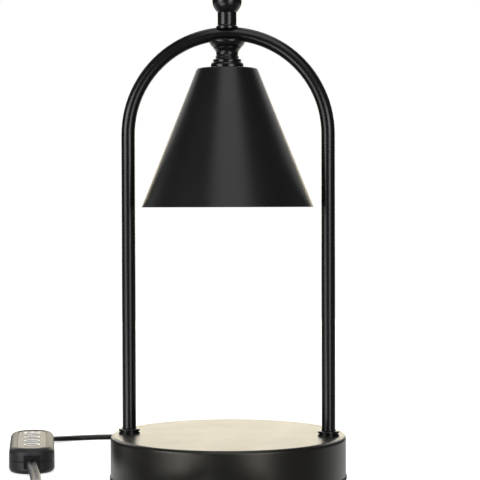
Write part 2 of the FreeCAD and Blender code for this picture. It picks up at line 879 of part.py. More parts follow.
def make_shade_fixings():
    nipple_foot = f"({shade_ceiling} - nipple_drop)"
    nipple_height = f"{shade_top} + nipple_rise - {nipple_foot}"
    nipple = tube("shade_nipple", "nipple_radius", "nipple_bore_radius", nipple_height)
    place(nipple, z=nipple_foot)
    washer_foot = f"({shade_ceiling} - bracket_sheet - washer_thickness)"
    bore = "nipple_radius + seat_gap"
    washer = tube("lock_washer", "lock_washer_radius", bore, "washer_thickness")
    place(washer, z=washer_foot)
    nut = new_body("nipple_nut")
    flats = sketch_on(nut, "shade_nut_flats")
    hexagon(flats, "0", "nut_width")
    circle(flats, "0", "0", bore)
    pad(nut, flats, "nut_height", up=False)
    place(nut, z=washer_foot)


# ---- bulb holder ----

def make_socket_bracket():
    # a strap bent to a U, with two feet turned in over the ceramic body
    half = "(bracket_width / 2)"
    sheet_in = f"({half} - bracket_sheet)"
    toe = f"({half} - bracket_foot)"
    foot_top = "(bracket_drop - bracket_sheet)"
    body = new_body("socket_bracket")
    bend = sketch_on(body, "strap_bend", "XZ_Plane")
    outline(bend, [
        (f"-{half}", "-bracket_drop"),
        (f"-{toe}", "-bracket_drop"),
        (f"-{toe}", f"-{foot_top}"),
        (f"-{sheet_in}", f"-{foot_top}"),
        (f"-{sheet_in}", "-bracket_sheet"),
        (sheet_in, "-bracket_sheet"),
        (sheet_in, f"-{foot_top}"),
        (toe, f"-{foot_top}"),
        (toe, "-bracket_drop"),
        (half, "-bracket_drop"),
        (half, "0"),
        (f"-{half}", "0"),
    ])
    pad(body, bend, "bracket_depth", middle=True)
    hole = sketch_on(body, "nipple_hole")
    circle(hole, "0", "0", "nipple_radius + seat_gap")
    pocket(body, hole, "bracket_sheet + seat_gap")
    holes = sketch_on(body, "foot_holes", lift=f"-{foot_top}")
    for sign in (-1, 1):
        circle(holes, f"{sign} * socket_screw_spacing / 2", "0", "socket_screw_radius + seat_gap")
    pocket(body, holes, "bracket_sheet + seat_gap")
    place(body, z=shade_ceiling)


def keyhole_track(body, reach):
    # the curved slot that a pin's stem turns along, from its entry to where it locks
    outer = f"(pin_spacing / 2 + {reach})"
    inner = f"(pin_spacing / 2 - {reach})"
    slot = sketch_on(body, "keyhole_track")
    outline(slot, [
        (f"{outer} * cos(twist_angle)", f"-{outer} * sin(twist_angle)", outer, 1),
        (outer, "0"),
        (inner, "0", inner, -1),
        (f"{inner} * cos(twist_angle)", f"-{inner} * sin(twist_angle)"),
    ])
    return pocket(body, slot, "socket_face_wall", up=True)


def make_bulb_socket():
    # ceramic body with two keyholes: a pin head goes in at the round end and turns under the plate
    body = new_body("bulb_socket")
    block = sketch_on(body, "ceramic_block")
    stadium(block, "socket_width", "socket_depth")
    pad(body, block, "socket_height")
    cavity = sketch_on(body, "ceramic_cavity", lift="socket_height")
    circle(cavity, "0", "0", "socket_cavity_radius")
    pocket(body, cavity, "socket_height - socket_face_wall")
    taps = sketch_on(body, "ceramic_taps", lift="socket_height")
    for sign in (-1, 1):
        circle(taps, f"{sign} * socket_screw_spacing / 2", "0", "socket_screw_radius + seat_gap")
    pocket(body, taps, "socket_screw_length")
    stem_gap = "(pin_radius + keyhole_gap)"
    cuts = [keyhole_track(body, stem_gap)]
    entry = sketch_on(body, "keyhole_entry")
    entry_x, entry_y = "pin_spacing / 2 * cos(twist_angle)", "-pin_spacing / 2 * sin(twist_angle)"
    circle(entry, entry_x, entry_y, "(pin_head_radius + keyhole_gap)")
    cuts.append(pocket(body, entry, "socket_face_wall", up=True))
    end = sketch_on(body, "keyhole_end")
    circle(end, "pin_spacing / 2", "0", stem_gap)
    cuts.append(pocket(body, end, "socket_face_wall", up=True))
    ring_of(body, cuts, 2)
    place(body, z=socket_face)


def make_socket_contacts():
    # a leaf over each pin head, bent up where its edges meet the round wall of the cavity
    body = new_body("socket_contacts")
    half = "(contact_width / 2)"
    wall = f"(sqrt(socket_cavity_radius ^ 2 - {half} ^ 2))"
    leaf_foot = f"({pin_head_foot} + pin_head_height + contact_gap)"
    leaf = sketch_on(body, "contact_leaf", lift=leaf_foot)
    rectangle(leaf, f"{wall} - contact_reach", wall, f"-{half}", half)
    riser = sketch_on(body, "contact_riser_foot", lift=f"{leaf_foot} + contact_sheet")
    rectangle(riser, f"{wall} - contact_sheet", wall, f"-{half}", half)
    ring_of(body, [pad(body, leaf, "contact_sheet"), pad(body, riser, "contact_riser")], 2)


def make_socket_screws():
    body = new_body("socket_screws")
    foot_top = f"({socket_top} + bracket_sheet)"
    head = sketch_on(body, "socket_screw_head", lift=foot_top)
    circle(head, "socket_screw_spacing / 2", "0", "socket_screw_head_radius")
    shank = sketch_on(body, "socket_screw_shank", lift=foot_top)
    circle(shank, "socket_screw_spacing / 2", "0", "socket_screw_radius")
    pieces = [pad(body, head, "socket_screw_head_height")]
    pieces.append(pad(body, shank, "socket_screw_length + bracket_sheet - seat_gap", up=False))
    ring_of(body, pieces, 2)


# ---- bulb, which turns about Z in its holder ----

def make_bulb():
    rim_low = f"({bulb_seat} - bulb_length)"
    rim_high = f"({rim_low} + bulb_rim_height)"
    base_end = f"({bulb_seat} - bulb_base_length)"
    lens_top = f"({rim_low} + 2 * bowl_wall)"
    lens_radius = "(bulb_radius - bowl_wall)"
    stem_hole = "(capsule_stem_radius + seat_gap)"
    inner_curve = "(bowl_curve_radius - bowl_wall)"
    turned("bulb_base", [
        ("0", base_end),
        ("bulb_neck_radius", base_end),
        ("bulb_base_radius", f"{base_end} + bulb_base_chamfer"),
        ("bulb_base_radius", f"{bulb_seat} - bulb_base_chamfer"),
        ("bulb_base_radius - bulb_base_chamfer", bulb_seat),
        ("0", bulb_seat),
    ])
    turned("bulb_reflector", [
        (lens_radius, rim_low),
        ("bulb_radius", rim_low),
        ("bulb_radius", rim_high),
        ("bulb_radius - bowl_lip", rim_high, "bowl_curve_radius", 1),
        ("bulb_neck_radius", base_end),
        (stem_hole, base_end),
        (stem_hole, f"{base_end} - bowl_wall"),
        ("bulb_neck_radius - bowl_wall", f"{base_end} - bowl_wall", inner_curve, -1),
        ("bulb_radius - bowl_lip - bowl_wall", lens_top),
        (lens_radius, lens_top),
    ])
    turned("bulb_lens", [
        ("0", f"{lens_top} - lens_thickness"),
        (f"{lens_radius} - seat_gap", f"{lens_top} - lens_thickness"),
        (f"{lens_radius} - seat_gap", lens_top),
        ("0", lens_top),
    ])
    wall = "capsule_wall"
    shoulder = f"({base_end} - capsule_stem_length)"
    dome = f"({base_end} - capsule_length + capsule_radius)"
    turned("bulb_capsule", [
        ("0", base_end),
        ("0", f"{shoulder} - {wall}"),
        (f"capsule_radius - {wall}", f"{shoulder} - {wall}"),
        (f"capsule_radius - {wall}", dome, f"capsule_radius - {wall}", -1),
        ("0", f"{dome} - capsule_radius + {wall}"),
        ("0", f"{dome} - capsule_radius", "capsule_radius", 1),
        ("capsule_radius", dome),
        ("capsule_radius", shoulder),
        ("capsule_stem_radius", shoulder),
        ("capsule_stem_radius", base_end),
    ])
    filament = tube("bulb_filament", "filament_radius", "filament_radius / 2", "filament_length")
    place(filament, z=f"{shoulder} - capsule_wall - filament_length")
    pins = new_body("bulb_pins")
    stem = sketch_on(pins, "pin_stem", lift=bulb_seat)
    circle(stem, "pin_spacing / 2", "0", "pin_radius")
    head = sketch_on(pins, "pin_head", lift=pin_head_foot)
    circle(head, "pin_spacing / 2", "0", "pin_head_radius")
    pieces = [pad(pins, stem, "pin_length - pin_head_height"), pad(pins, head, "pin_head_height")]
    ring_of(pins, pieces, 2)


# ---- hand control, modelled about its own middle with the indicator end at +X ----

button_places = {
    "timer_button": "1.5 * button_pitch",
    "plus_button": "0.5 * button_pitch",
    "minus_button": "-0.5 * button_pitch",
    "power_button": "-1.5 * button_pitch",
}
light_row = "(case_width / 2 - light_row_inset)"
light_rows = [f"-{light_row}", "0", light_row]
plate_seat = "(case_height - plate_sunk - plate_thickness)"
case_ceiling = f"({plate_seat} - case_wall)"
button_radius = "(ring_radius - ring_wall - button_gap)"
button_top = f"({plate_seat} + plate_thickness + ring_proud - button_sunk)"
flange_top = f"({case_ceiling} - button_float)"
stem_foot = f"({flange_top} - button_flange_height - button_stem_length)"
plunger_top = f"({stem_foot} - button_travel - switch_gap)"
board_top = "(board_level + board_thickness)"
inner_length = "(case_length - 2 * case_wall)"
inner_width = "(case_width - 2 * case_wall)"
plate_length = "(case_length - 2 * plate_margin)"
plate_width = "(case_width - 2 * plate_margin)"
boss_x = "(case_length / 2 - case_boss_end_inset)"
boss_y = "(case_width / 2 - case_boss_side_inset)"
board_end = "(case_length / 2 - board_end_room)"
board_side = f"({boss_y} - case_boss_radius - board_side_gap)"


def set_down(body):
    place(body, "control_x", "control_y", "0", "control_yaw")


def case_corners():
    for sign_x in (-1, 1):
        for sign_y in (-1, 1):
            yield f"{sign_x} * {boss_x}", f"{sign_y} * {boss_y}"


def cut_sleeve_windows(body):
    ends = sketch_on(body, body.Label + "_windows", "YZ_Plane")
    half = "(sleeve_width / 2 + seat_gap)"
    tall = "(sleeve_height / 2 + seat_gap)"
    rectangle(ends, f"-{half}", half, f"case_split - {tall}", f"case_split + {tall}")
    pocket(body, ends, "2 * case_length", middle=True)


def make_lower_case():
    body = new_body("control_lower_case")
    block = sketch_on(body, "lower_block")
    stadium(block, "case_length", "case_width")
    solid = pad(body, block, "case_split")
    solid = rounded(body, solid, "case_foot_radius", "0")
    bevelled(body, solid, "case_seam", "case_split")
    hollow = sketch_on(body, "lower_hollow", lift="case_split")
    stadium(hollow, inner_length, inner_width)
    pocket(body, hollow, "case_split - case_wall")
    cut_sleeve_windows(body)
    bosses = sketch_on(body, "lower_bosses", lift="case_wall")
    for x, y in case_corners():
        circle(bosses, x, y, "case_boss_radius")
    pad(body, bosses, "case_split - case_wall")
    posts = sketch_on(body, "board_posts", lift="case_wall")
    for x in ("-board_post_place", "0", "board_post_place"):
        circle(posts, x, "0", "board_post_radius")
    pad(body, posts, "board_level - case_wall")
    shafts = sketch_on(body, "lower_screw_shafts")
    heads = sketch_on(body, "lower_screw_heads")
    for x, y in case_corners():
        circle(shafts, x, y, "case_screw_radius + seat_gap")
        circle(heads, x, y, "case_screw_head_radius + seat_gap")
    pocket(body, shafts, "case_split", up=True)
    pocket(body, heads, "case_screw_head_height + case_seam", up=True)
    set_down(body)


def make_upper_case():
    body = new_body("control_upper_case")
    block = sketch_on(body, "upper_block", lift="case_split")
    stadium(block, "case_length", "case_width")
    solid = pad(body, block, "case_height - case_split")
    solid = rounded(body, solid, "case_crown_radius", "case_height")
    bevelled(body, solid, "case_seam", "case_split")
    hollow = sketch_on(body, "upper_hollow", lift="case_split")
    stadium(hollow, inner_length, inner_width)
    pocket(body, hollow, f"{case_ceiling} - case_split", up=True)
    recess = sketch_on(body, "plate_recess", lift="case_height")
    stadium(recess, plate_length, plate_width)
    pocket(body, recess, f"case_height - {plate_seat}")
    cut_sleeve_windows(body)
    holes = sketch_on(body, "button_wells", lift=plate_seat)
    for x in button_places.values():
        circle(holes, x, "0", f"{button_radius} + button_gap")
    for y in light_rows:
        circle(holes, "light_place", y, "light_radius + seat_gap")
    pocket(body, holes, "case_wall + seat_gap")
    bosses = sketch_on(body, "upper_bosses", lift="case_split")
    for x, y in case_corners():
        circle(bosses, x, y, "case_boss_radius")
    pad(body, bosses, f"{case_ceiling} - case_split")
    taps = sketch_on(body, "upper_taps", lift="case_split")
    for x, y in case_corners():
        circle(taps, x, y, "case_screw_radius + seat_gap")
    tap_depth = "case_screw_length - case_split + case_screw_head_height + case_seam"
    pocket(body, taps, tap_depth, up=True)
    set_down(body)


def make_face_plate():
    body = new_body("control_face_plate")
    panel = sketch_on(body, "panel", lift=plate_seat)
    stadium(panel, f"{plate_length} - 2 * plate_gap", f"{plate_width} - 2 * plate_gap")
    pad(body, panel, "plate_thickness")
    holes = sketch_on(body, "panel_holes", lift=plate_seat)
    for x in button_places.values():
        circle(holes, x, "0", "ring_radius + seat_gap")
    for y in light_rows:
        circle(holes, "light_place", y, "light_radius + seat_gap")
    pocket(body, holes, "plate_thickness", up=True)
    set_down(body)


def make_button_rings():
    body = new_body("button_rings")
    rings = sketch_on(body, "ring_circles", lift=plate_seat)
    for x in button_places.values():
        circle(rings, x, "0", "ring_radius")
        circle(rings, x, "0", "ring_radius - ring_wall")
    pad(body, rings, "plate_thickness + ring_proud")
    set_down(body)


def make_button(label, x):
    # cap in the ring's well, a flange that stops it rising out, and a stem over its switch
    body = turned(label, [
        ("0", stem_foot),
        ("button_stem_radius", stem_foot),
        ("button_stem_radius", f"{flange_top} - button_flange_height"),
        (f"{button_radius} + button_flange_lip", f"{flange_top} - button_flange_height"),
        (f"{button_radius} + button_flange_lip", flange_top),
        (button_radius, flange_top),
        (button_radius, f"{button_top} - button_gap"),
        (f"{button_radius} - button_gap", button_top),
        ("0", button_top),
    ])
    world_x = f"control_x + {x} * cos(control_yaw)"
    world_y = f"control_y + {x} * sin(control_yaw)"
    place(body, world_x, world_y, "0", "control_yaw")


def make_indicator_lenses():
    body = new_body("indicator_lenses")
    pipes = sketch_on(body, "light_pipes", lift=board_top)
    for y in light_rows:
        circle(pipes, "light_place", y, "light_radius")
    pad(body, pipes, f"{plate_seat} + plate_thickness - {board_top}")
    set_down(body)


def make_control_board():
    body = new_body("control_board")
    board = sketch_on(body, "board_edge", lift="board_level")
    rectangle(board, f"-{board_end}", board_end, f"-{board_side}", board_side)
    pad(body, board, "board_thickness")
    set_down(body)


def make_tact_switches():
    body = new_body("tact_switches")
    cases = sketch_on(body, "switch_cases", lift=board_top)
    plungers = sketch_on(body, "switch_plungers", lift=board_top)
    half = "switch_width / 2"
    for x in button_places.values():
        rectangle(cases, f"{x} - {half}", f"{x} + {half}", f"-{half}", half)
        circle(plungers, x, "0", "plunger_radius")
    pad(body, cases, "switch_height")
    pad(body, plungers, f"{plunger_top} - {board_top}")
    set_down(body)


def make_control_screws():
    body = new_body("control_screws")
    heads = sketch_on(body, "case_screw_heads", lift="case_seam")
    shafts = sketch_on(body, "case_screw_shafts", lift="case_seam")
    for x, y in case_corners():
        circle(heads, x, y, "case_screw_head_radius")
        circle(shafts, x, y, "case_screw_radius")
    pad(body, heads, "case_screw_head_height")
    pad(body, shafts, "case_screw_head_height + case_screw_length - seat_gap")
    set_down(body)


def make_control_sleeves():
    # a rectangular block at each end grips the cord; its flange meets the round end wall inside
    body = new_body("control_sleeves")
    half = "(sleeve_width / 2)"
    wide = f"({half} + sleeve_flange_lip)"
    low, high = "case_split - sleeve_height / 2", "case_split + sleeve_height / 2"
    end_middle = "(case_length - case_width) / 2"
    inner = f"({end_middle} + sqrt(({inner_width} / 2) ^ 2 - {wide} ^ 2) - seat_gap)"
    block = sketch_on(body, "sleeve_block", "YZ_Plane", inner)
    rectangle(block, f"-{half}", half, low, high)
    flange = sketch_on(body, "sleeve_flange", "YZ_Plane", inner)
    rectangle(flange, f"-{wide}", wide, low, high)
    pieces = [pad(body, block, f"case_length / 2 + sleeve_reach - {inner}")]
    pieces.append(pad(body, flange, "sleeve_flange_thickness", up=False))
    ring_of(body, pieces, 2)
    set_down(body)


# ---- cords ----

def tangent_route(points, name, share=0.45):
    # straight runs joined by arcs, each as large as its two runs allow
    edges, radii = [], []
    start = points[0]
    for before, corner, after in zip(points, points[1:], points[2:]):
        run_in, run_out = corner - before, after - corner
        turn = run_in.getAngle(run_out)
        cut = share * min(run_in.Length, run_out.Length)
        radii.append(cut / math.tan(turn / 2))
        way_in, way_out = Vector(run_in).normalize(), Vector(run_out).normalize()
        first, last = corner - way_in * cut, corner + way_out * cut
        to_centre = (way_out - way_in).normalize()
        centre = corner + to_centre * (math.hypot(cut, radii[-1]))
        middle = centre - to_centre * radii[-1]
        edges.append(Part.LineSegment(start, first).toShape())
        edges.append(Part.Arc(first, middle, last).toShape())
        start = last
    edges.append(Part.LineSegment(start, points[-1]).toShape())
    print(f"{name}: arc radii", [round(radius, 1) for radius in radii])
    return Part.Wire(edges)


def flat_section(place_at, way, width, thickness):
    # an oblong across the route's start, its long way level
    level = Vector(0, 0, 1).cross(way).normalize()
    up = way.cross(level).normalize()
    reach, half = (width - thickness) / 2, thickness / 2
    right, left = place_at + level * reach, place_at - level * reach
    rise, bulge = up * half, level * half
    return Part.Wire([
        Part.LineSegment(left - rise, right - rise).toShape(),
        Part.Arc(right - rise, right + bulge, right + rise).toShape(),
        Part.LineSegment(right + rise, left + rise).toShape(),
        Part.Arc(left + rise, left - bulge, left - rise).toShape(),
    ])


def finished_feature(label, shape):
    feature = doc.addObject("Part::Feature", label)
    feature.Label = label
    feature.Shape = shape
    feature.Placement = Placement()
    subparts.append(feature)
    return feature


def report_sweep(label, solid, area, route):
    length = route.Length
    print(f"{label}: length {length:.1f}, section x length {area * length:.0f}, volume {solid.Volume:.0f}")


def make_cord(label, points):
    route = tangent_route([Vector(*point) for point in points], label)
    width, thickness = value("cord_width"), value("cord_thickness")
    way = Vector(*points[1]) - Vector(*points[0])
    section = flat_section(Vector(*points[0]), way.normalize(), width, thickness)
    sweep = Part.BRepOffsetAPI.MakePipeShell(route)
    sweep.setBiNormalMode(Vector(0, 0, 1))
    sweep.add(section, False, False)
    sweep.build()
    sweep.makeSolid()
    solid = sweep.shape()
    report_sweep(label, solid, Part.Face(section).Area, route)
    finished_feature(label, solid)


# from the strain relief, round behind the base, to the far end of the control
lead_points = [
    (0, 100, 9),
    (0, 113, 9),
    (-4, 130.3, 5.9),
    (-15.1, 145.6, 3.3),
    (-32.2, 155.9, 1.75),
    (-55.5, 161.7, 1.75),
    (-82, 166, 1.75),
    (-110.9, 165.7, 1.75),
    (-133.5, 157.5, 1.75),
    (-148.1, 143.9, 2.6),
    (-155.6, 126.4, 5.2),
    (-155.56, 108.37, 8.4),
    (-152.57, 95.72, 8.4),
]
# from the near end of the control to the first turn of the coil
run_points = [
    (-128.83, -4.72, 8.4),
    (-125.61, -18.34, 8.4),
    (-117.2, -40.6, 4.4),
    (-112, -64.5, 1.75),
    (-111, -90.2, 1.75),
    (-108.1, -109.9, 2.55),
]
# from the last turn of the coil to the plug
tail_points = [
    (-34.5, -150.7, 6.05),
    (-19.5, -144.2, 5.2),
    (-3.18, -134.2, 7),
    (8.5, -128.5, 7),
]


def make_cords():
    make_cord("cord_lead", lead_points)
    make_cord("cord_run", run_points)
    make_cord("cord_tail", tail_points)


def make_coil():
    edge = "coil_edge_radius"
    low, high = "tie_thickness", "(tie_thickness + coil_height)"
    coil = turned("cord_coil", [
        (f"coil_inner_radius + {edge}", low),
        (f"coil_outer_radius - {edge}", low, edge, 1),
        ("coil_outer_radius", f"{low} + {edge}"),
        ("coil_outer_radius", f"{high} - {edge}", edge, 1),
        (f"coil_outer_radius - {edge}", high),
        (f"coil_inner_radius + {edge}", high, edge, 1),
        ("coil_inner_radius", f"{high} - {edge}"),
        ("coil_inner_radius", f"{low} + {edge}", edge, 1),
    ])
    place(coil, "coil_x", "coil_y")
    # the tie is a flat band, so it clears the ring's inner wall where its own edges meet it
    tie = new_body("coil_tie")
    band = sketch_on(tie, "tie_band", "XZ_Plane")
    inside = "(sqrt(coil_inner_radius ^ 2 - (tie_width / 2) ^ 2) - seat_gap)"
    outside = "(coil_outer_radius + seat_gap)"
    top = f"({high} + seat_gap)"
    wall = "tie_thickness"
    rectangle(band, f"{inside} - {wall}", f"{outside} + {wall}", "0", f"{top} + {wall}")
    rectangle(band, inside, outside, low, top)
    pad(tie, band, "tie_width", middle=True)
    place(tie, "coil_x", "coil_y", "0", "tie_yaw")


def make_plug():
    # lies flat, cord end at its own origin and blades towards its own +X
    middle = "(plug_height / 2)"
    body = new_body("plug_body")
    tip = sketch_on(body, "plug_tip", "YZ_Plane")
    stadium(tip, "plug_tip_width", "plug_tip_height", middle)
    shoulder = sketch_on(body, "plug_shoulder", "YZ_Plane", "plug_length - plug_grip_length")
    stadium(shoulder, "plug_shoulder_width", "plug_shoulder_height", middle)
    face = sketch_on(body, "plug_face", "YZ_Plane", "plug_length")
    stadium(face, "plug_width", "plug_height", middle)
    lofted(body, [tip, shoulder, face])
    place(body, "plug_x", "plug_y", "0", "plug_yaw")
    blades = new_body("plug_blades")
    side = sketch_on(blades, "blade_side", "XZ_Plane")
    low, high = f"({middle} - blade_height / 2)", f"({middle} + blade_height / 2)"
    end = "(plug_length + blade_length)"
    outline(side, [
        ("plug_length", low),
        (f"{end} - blade_nose", low),
        (end, f"{low} + blade_nose"),
        (end, f"{high} - blade_nose"),
        (f"{end} - blade_nose", high),
        ("plug_length", high),
    ])
    circle(side, f"{end} - 2 * blade_nose", middle, "blade_hole_radius")
    side.setExpression("AttachmentOffset.Base.z", linked("blade_spacing / 2 - blade_thickness / 2"))
    blade = pad(blades, side, "blade_thickness")
    mirror = blades.newObject("PartDesign::Mirrored", "other_blade")
    mirror.Originals = [blade]
    mirror.MirrorPlane = (origin_item(blades, "XZ_Plane"), [""])
    blades.Tip = mirror
    solve(mirror)
    place(blades, "plug_x", "plug_y", "0", "plug_yaw")


def make_inner_cable():
    # from the strain relief round the ballast, up the left leg, over the arch, down to the bulb
    radius, bend = value("wire_radius"), value("wire_bend_radius")
    leg, spring, level = value(leg_offset), value(spring_line), value("exit_level")
    inner_end = f"{shell_inner_radius} - exit_flange_thickness - wire_clearance"
    start = Vector(0, value(inner_end), level)
    around = value("ballast_radius + 2 * wire_radius")
    first_angle, last_angle = value("wire_turn_start"), value("wire_turn_end")
    corners = [start]
    for angle in (first_angle, (first_angle + last_angle) / 2, last_angle):
        turn = math.radians(angle)
        corners.append(Vector(around * math.cos(turn), around * math.sin(turn), level))
    corners.append(Vector(-leg, 0, level))
    corners.append(Vector(-leg, 0, spring))
    edges = []
    here = start
    for before, corner, after in zip(corners, corners[1:], corners[2:]):
        way_in, way_out = (corner - before).normalize(), (after - corner).normalize()
        cut = bend * math.tan(way_in.getAngle(way_out) / 2)
        first, last = corner - way_in * cut, corner + way_out * cut
        to_centre = (way_out - way_in).normalize()
        middle = corner + to_centre * (math.hypot(cut, bend) - bend)
        edges.append(Part.LineSegment(here, first).toShape())
        edges.append(Part.Arc(first, middle, last).toShape())
        here = last
    edges.append(Part.LineSegment(here, corners[-1]).toShape())
    # it follows the bent tube until just short of the middle, then turns straight down
    short = math.asin(bend / leg)
    half = (math.pi / 2 - short) / 2
    over = Vector(-leg * math.sin(short), 0, spring + leg * math.cos(short))
    midway = Vector(-leg * math.cos(half), 0, spring + leg * math.sin(half))
    edges.append(Part.Arc(corners[-1], midway, over).toShape())
    way = Vector(math.cos(short), 0, math.sin(short))
    inward = Vector(way.z, 0, -way.x)
    turn_radius = -over.x / (inward.x + 1)
    centre = over + inward * turn_radius
    turn = (math.pi / 2 + short) / 2
    middle = centre - inward * (turn_radius * math.cos(turn)) + way * (turn_radius * math.sin(turn))
    end = Vector(0, 0, centre.z)
    edges.append(Part.Arc(over, middle, end).toShape())
    drop = value(f"{socket_top} - bracket_sheet")
    edges.append(Part.LineSegment(end, Vector(0, 0, drop)).toShape())
    route = Part.Wire(edges)
    section = Part.Wire([Part.Circle(start, (corners[1] - start).normalize(), radius).toShape()])
    solid = route.makePipeShell([section], True, False)
    report_sweep("inner_cable", solid, math.pi * radius ** 2, route)
    finished_feature("inner_cable", solid)


make_foot_pad()
make_bottom_cover()
make_base_screws()
make_ballast_weight()
make_base_bosses()
make_base_shell()
make_cord_grommet()
make_arch_tube()
make_leg_stems()
make_post_collar("left", -1)
make_post_collar("right", 1)
make_post_fasteners()
make_arch_coupling()
make_shade_cap()
make_finial()
make_shade()
make_shade_fixings()
make_socket_bracket()
make_bulb_socket()
make_socket_contacts()
make_socket_screws()
make_bulb()
make_lower_case()
make_upper_case()
make_face_plate()
make_button_rings()
for button, button_x in button_places.items():
    make_button(button, button_x)
make_indicator_lenses()
make_control_board()
make_tact_switches()
make_control_screws()
make_control_sleeves()
make_cords()
make_coil()
make_plug()
make_inner_cable()

doc.recompute()
for item in doc.Objects:
    if "Invalid" in item.State or "Error" in item.State:
        raise ValueError(f"{item.Label} failed: {item.State}")
for part in subparts:
    if part.Shape.isNull() or not part.Shape.isValid() or not part.Shape.Solids:
        raise ValueError(f"{part.Label} has no valid solid")

os.makedirs("parts", exist_ok=True)
for part in subparts:
    part.Shape.exportStep(f"parts/{part.Label}.step")
print(len(subparts), "sub-parts,", sum(len(part.Shape.Solids) for part in subparts), "solids")
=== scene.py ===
import json
import math

import bmesh
import bpy
from mathutils import Euler, Matrix, Vector
from mathutils.geometry import tessellate_polygon


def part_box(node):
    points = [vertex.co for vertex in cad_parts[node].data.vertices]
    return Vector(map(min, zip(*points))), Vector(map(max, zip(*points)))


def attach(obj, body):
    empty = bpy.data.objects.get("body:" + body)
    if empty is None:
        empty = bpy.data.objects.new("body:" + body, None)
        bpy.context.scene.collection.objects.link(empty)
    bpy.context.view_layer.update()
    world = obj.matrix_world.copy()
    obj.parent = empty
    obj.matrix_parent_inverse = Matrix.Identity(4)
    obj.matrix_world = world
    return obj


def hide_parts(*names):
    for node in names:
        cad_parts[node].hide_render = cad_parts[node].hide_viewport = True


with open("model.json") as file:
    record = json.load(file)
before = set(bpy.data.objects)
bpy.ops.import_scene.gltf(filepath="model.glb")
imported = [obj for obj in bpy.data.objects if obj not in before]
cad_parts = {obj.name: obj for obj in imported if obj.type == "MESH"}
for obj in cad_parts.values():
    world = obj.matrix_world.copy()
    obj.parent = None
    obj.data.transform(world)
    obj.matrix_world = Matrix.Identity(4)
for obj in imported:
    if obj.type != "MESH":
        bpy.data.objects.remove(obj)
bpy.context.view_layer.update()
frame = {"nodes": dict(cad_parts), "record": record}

nodes = frame["nodes"]
mm = 0.001
up = Vector((0, 0, 1))


def show(name, data):
    thing = bpy.data.objects.new(name, data)
    bpy.context.scene.collection.objects.link(thing)
    return thing


def meshPiece(name, corners, faces, smooth=True):
    data = bpy.data.meshes.new(name)
    data.from_pydata([tuple(c) for c in corners], [], faces)
    work = bmesh.new()
    work.from_mesh(data)
    bmesh.ops.recalc_face_normals(work, faces=work.faces)
    work.to_mesh(data)
    work.free()
    for face in data.polygons:
        face.use_smooth = smooth
    return show(name, data)


camera = {
    "lens": 122.6,  # mm
    "sensor": 36,  # mm
    "nearest": 0.05,  # metres
    "distance": 1.0552,  # from the lamp's axis
    "height": 0.1757,
    "azimuth": 6.76,  # degrees to the right of the front
    "pan": -0.431,
    "tilt": -1.188,
    "roll": -0.166,
}


def makeCamera():
    data = bpy.data.cameras.new("camera")
    data.lens = camera["lens"]
    data.sensor_width = camera["sensor"]
    data.clip_start = camera["nearest"]
    eye = show("camera", data)
    azimuth = math.radians(camera["azimuth"])
    eye.location = (camera["distance"] * math.sin(azimuth), -camera["distance"] * math.cos(azimuth),
                    camera["height"])
    level = Euler((math.radians(90 + camera["tilt"]), 0, azimuth + math.radians(camera["pan"])))
    roll = Matrix.Rotation(math.radians(camera["roll"]), 3, "Z")
    eye.rotation_euler = (level.to_matrix() @ roll).to_euler()
    bpy.context.scene.camera = eye


makeCamera()
print("camera made")


# lengths in mm
cordShape = {
    "width": 6.8,
    "thickness": 3.5,
    "valley": 1.12,  # half thickness between the two lobes
    "lobePoints": 13,
    "lobeHalf": 120,  # degrees round a lobe, to each side of its outermost point
    "stepsPerPoint": 10,
}

# control points in mm, from the base's strain relief to the hand control
leadRoute = [
    (0, 100, 9), (0, 113, 9), (-4, 130.3, 5.9), (-15.1, 145.6, 3.3), (-32.2, 155.9, 1.75),
    (-55.5, 161.7, 1.75), (-82, 166, 1.75), (-110.9, 165.7, 1.75), (-133.5, 157.5, 1.75),
    (-148.1, 143.9, 2.6), (-155.6, 126.4, 5.2), (-155.56, 108.37, 8.4), (-152.57, 95.72, 8.4),
]

# from the control's near end to the coil
runRoute = [
    (-128.83, -4.72, 8.4), (-125.61, -18.34, 8.4), (-117.2, -40.6, 4.4), (-112, -64.5, 1.75),
    (-111, -90.2, 1.75), (-108.1, -109.9, 2.55),
]

# from the coil to the plug
tailRoute = [(-34.5, -150.7, 6.05), (-19.5, -144.2, 5.2), (-3.18, -134.2, 7), (8.5, -128.5, 7)]

# lengths in mm
coil = {
    "centre": (-64.1, -117.3),
    "outerRadius": 43,
    "innerRadius": 28.6,
    "lowLevel": 2.55,
    "highLevel": 6.05,
    "start": 190,  # degrees round the centre
    "end": 1730,
    "pointsPerTurn": 16,
    "climb": 60,  # degrees over which the cord rises to the upper turns
}


def coilRoute():
    # the cord winds inwards on the floor, climbs onto its own turns and winds out again
    count = round((coil["end"] - coil["start"]) / 360 * coil["pointsPerTurn"])
    middle = (coil["start"] + coil["end"]) / 2
    # the spline touches the middles of its control polygon's sides, so the points stand further out
    spread = 1 / math.cos(math.pi / coil["pointsPerTurn"])
    route = []
    for i in range(count + 1):
        turn = coil["start"] + (coil["end"] - coil["start"]) * i / count
        inward = 1 - abs(turn - middle) / (middle - coil["start"])
        radius = coil["outerRadius"] + (coil["innerRadius"] - coil["outerRadius"]) * inward
        rise = min(1, max(0, (turn - middle) / coil["climb"] + 0.5))
        height = coil["lowLevel"] + (coil["highLevel"] - coil["lowLevel"]) * rise
        angle = math.radians(turn)
        route.append((coil["centre"][0] + radius * spread * math.cos(angle),
                      coil["centre"][1] + radius * spread * math.sin(angle), height))
    return route


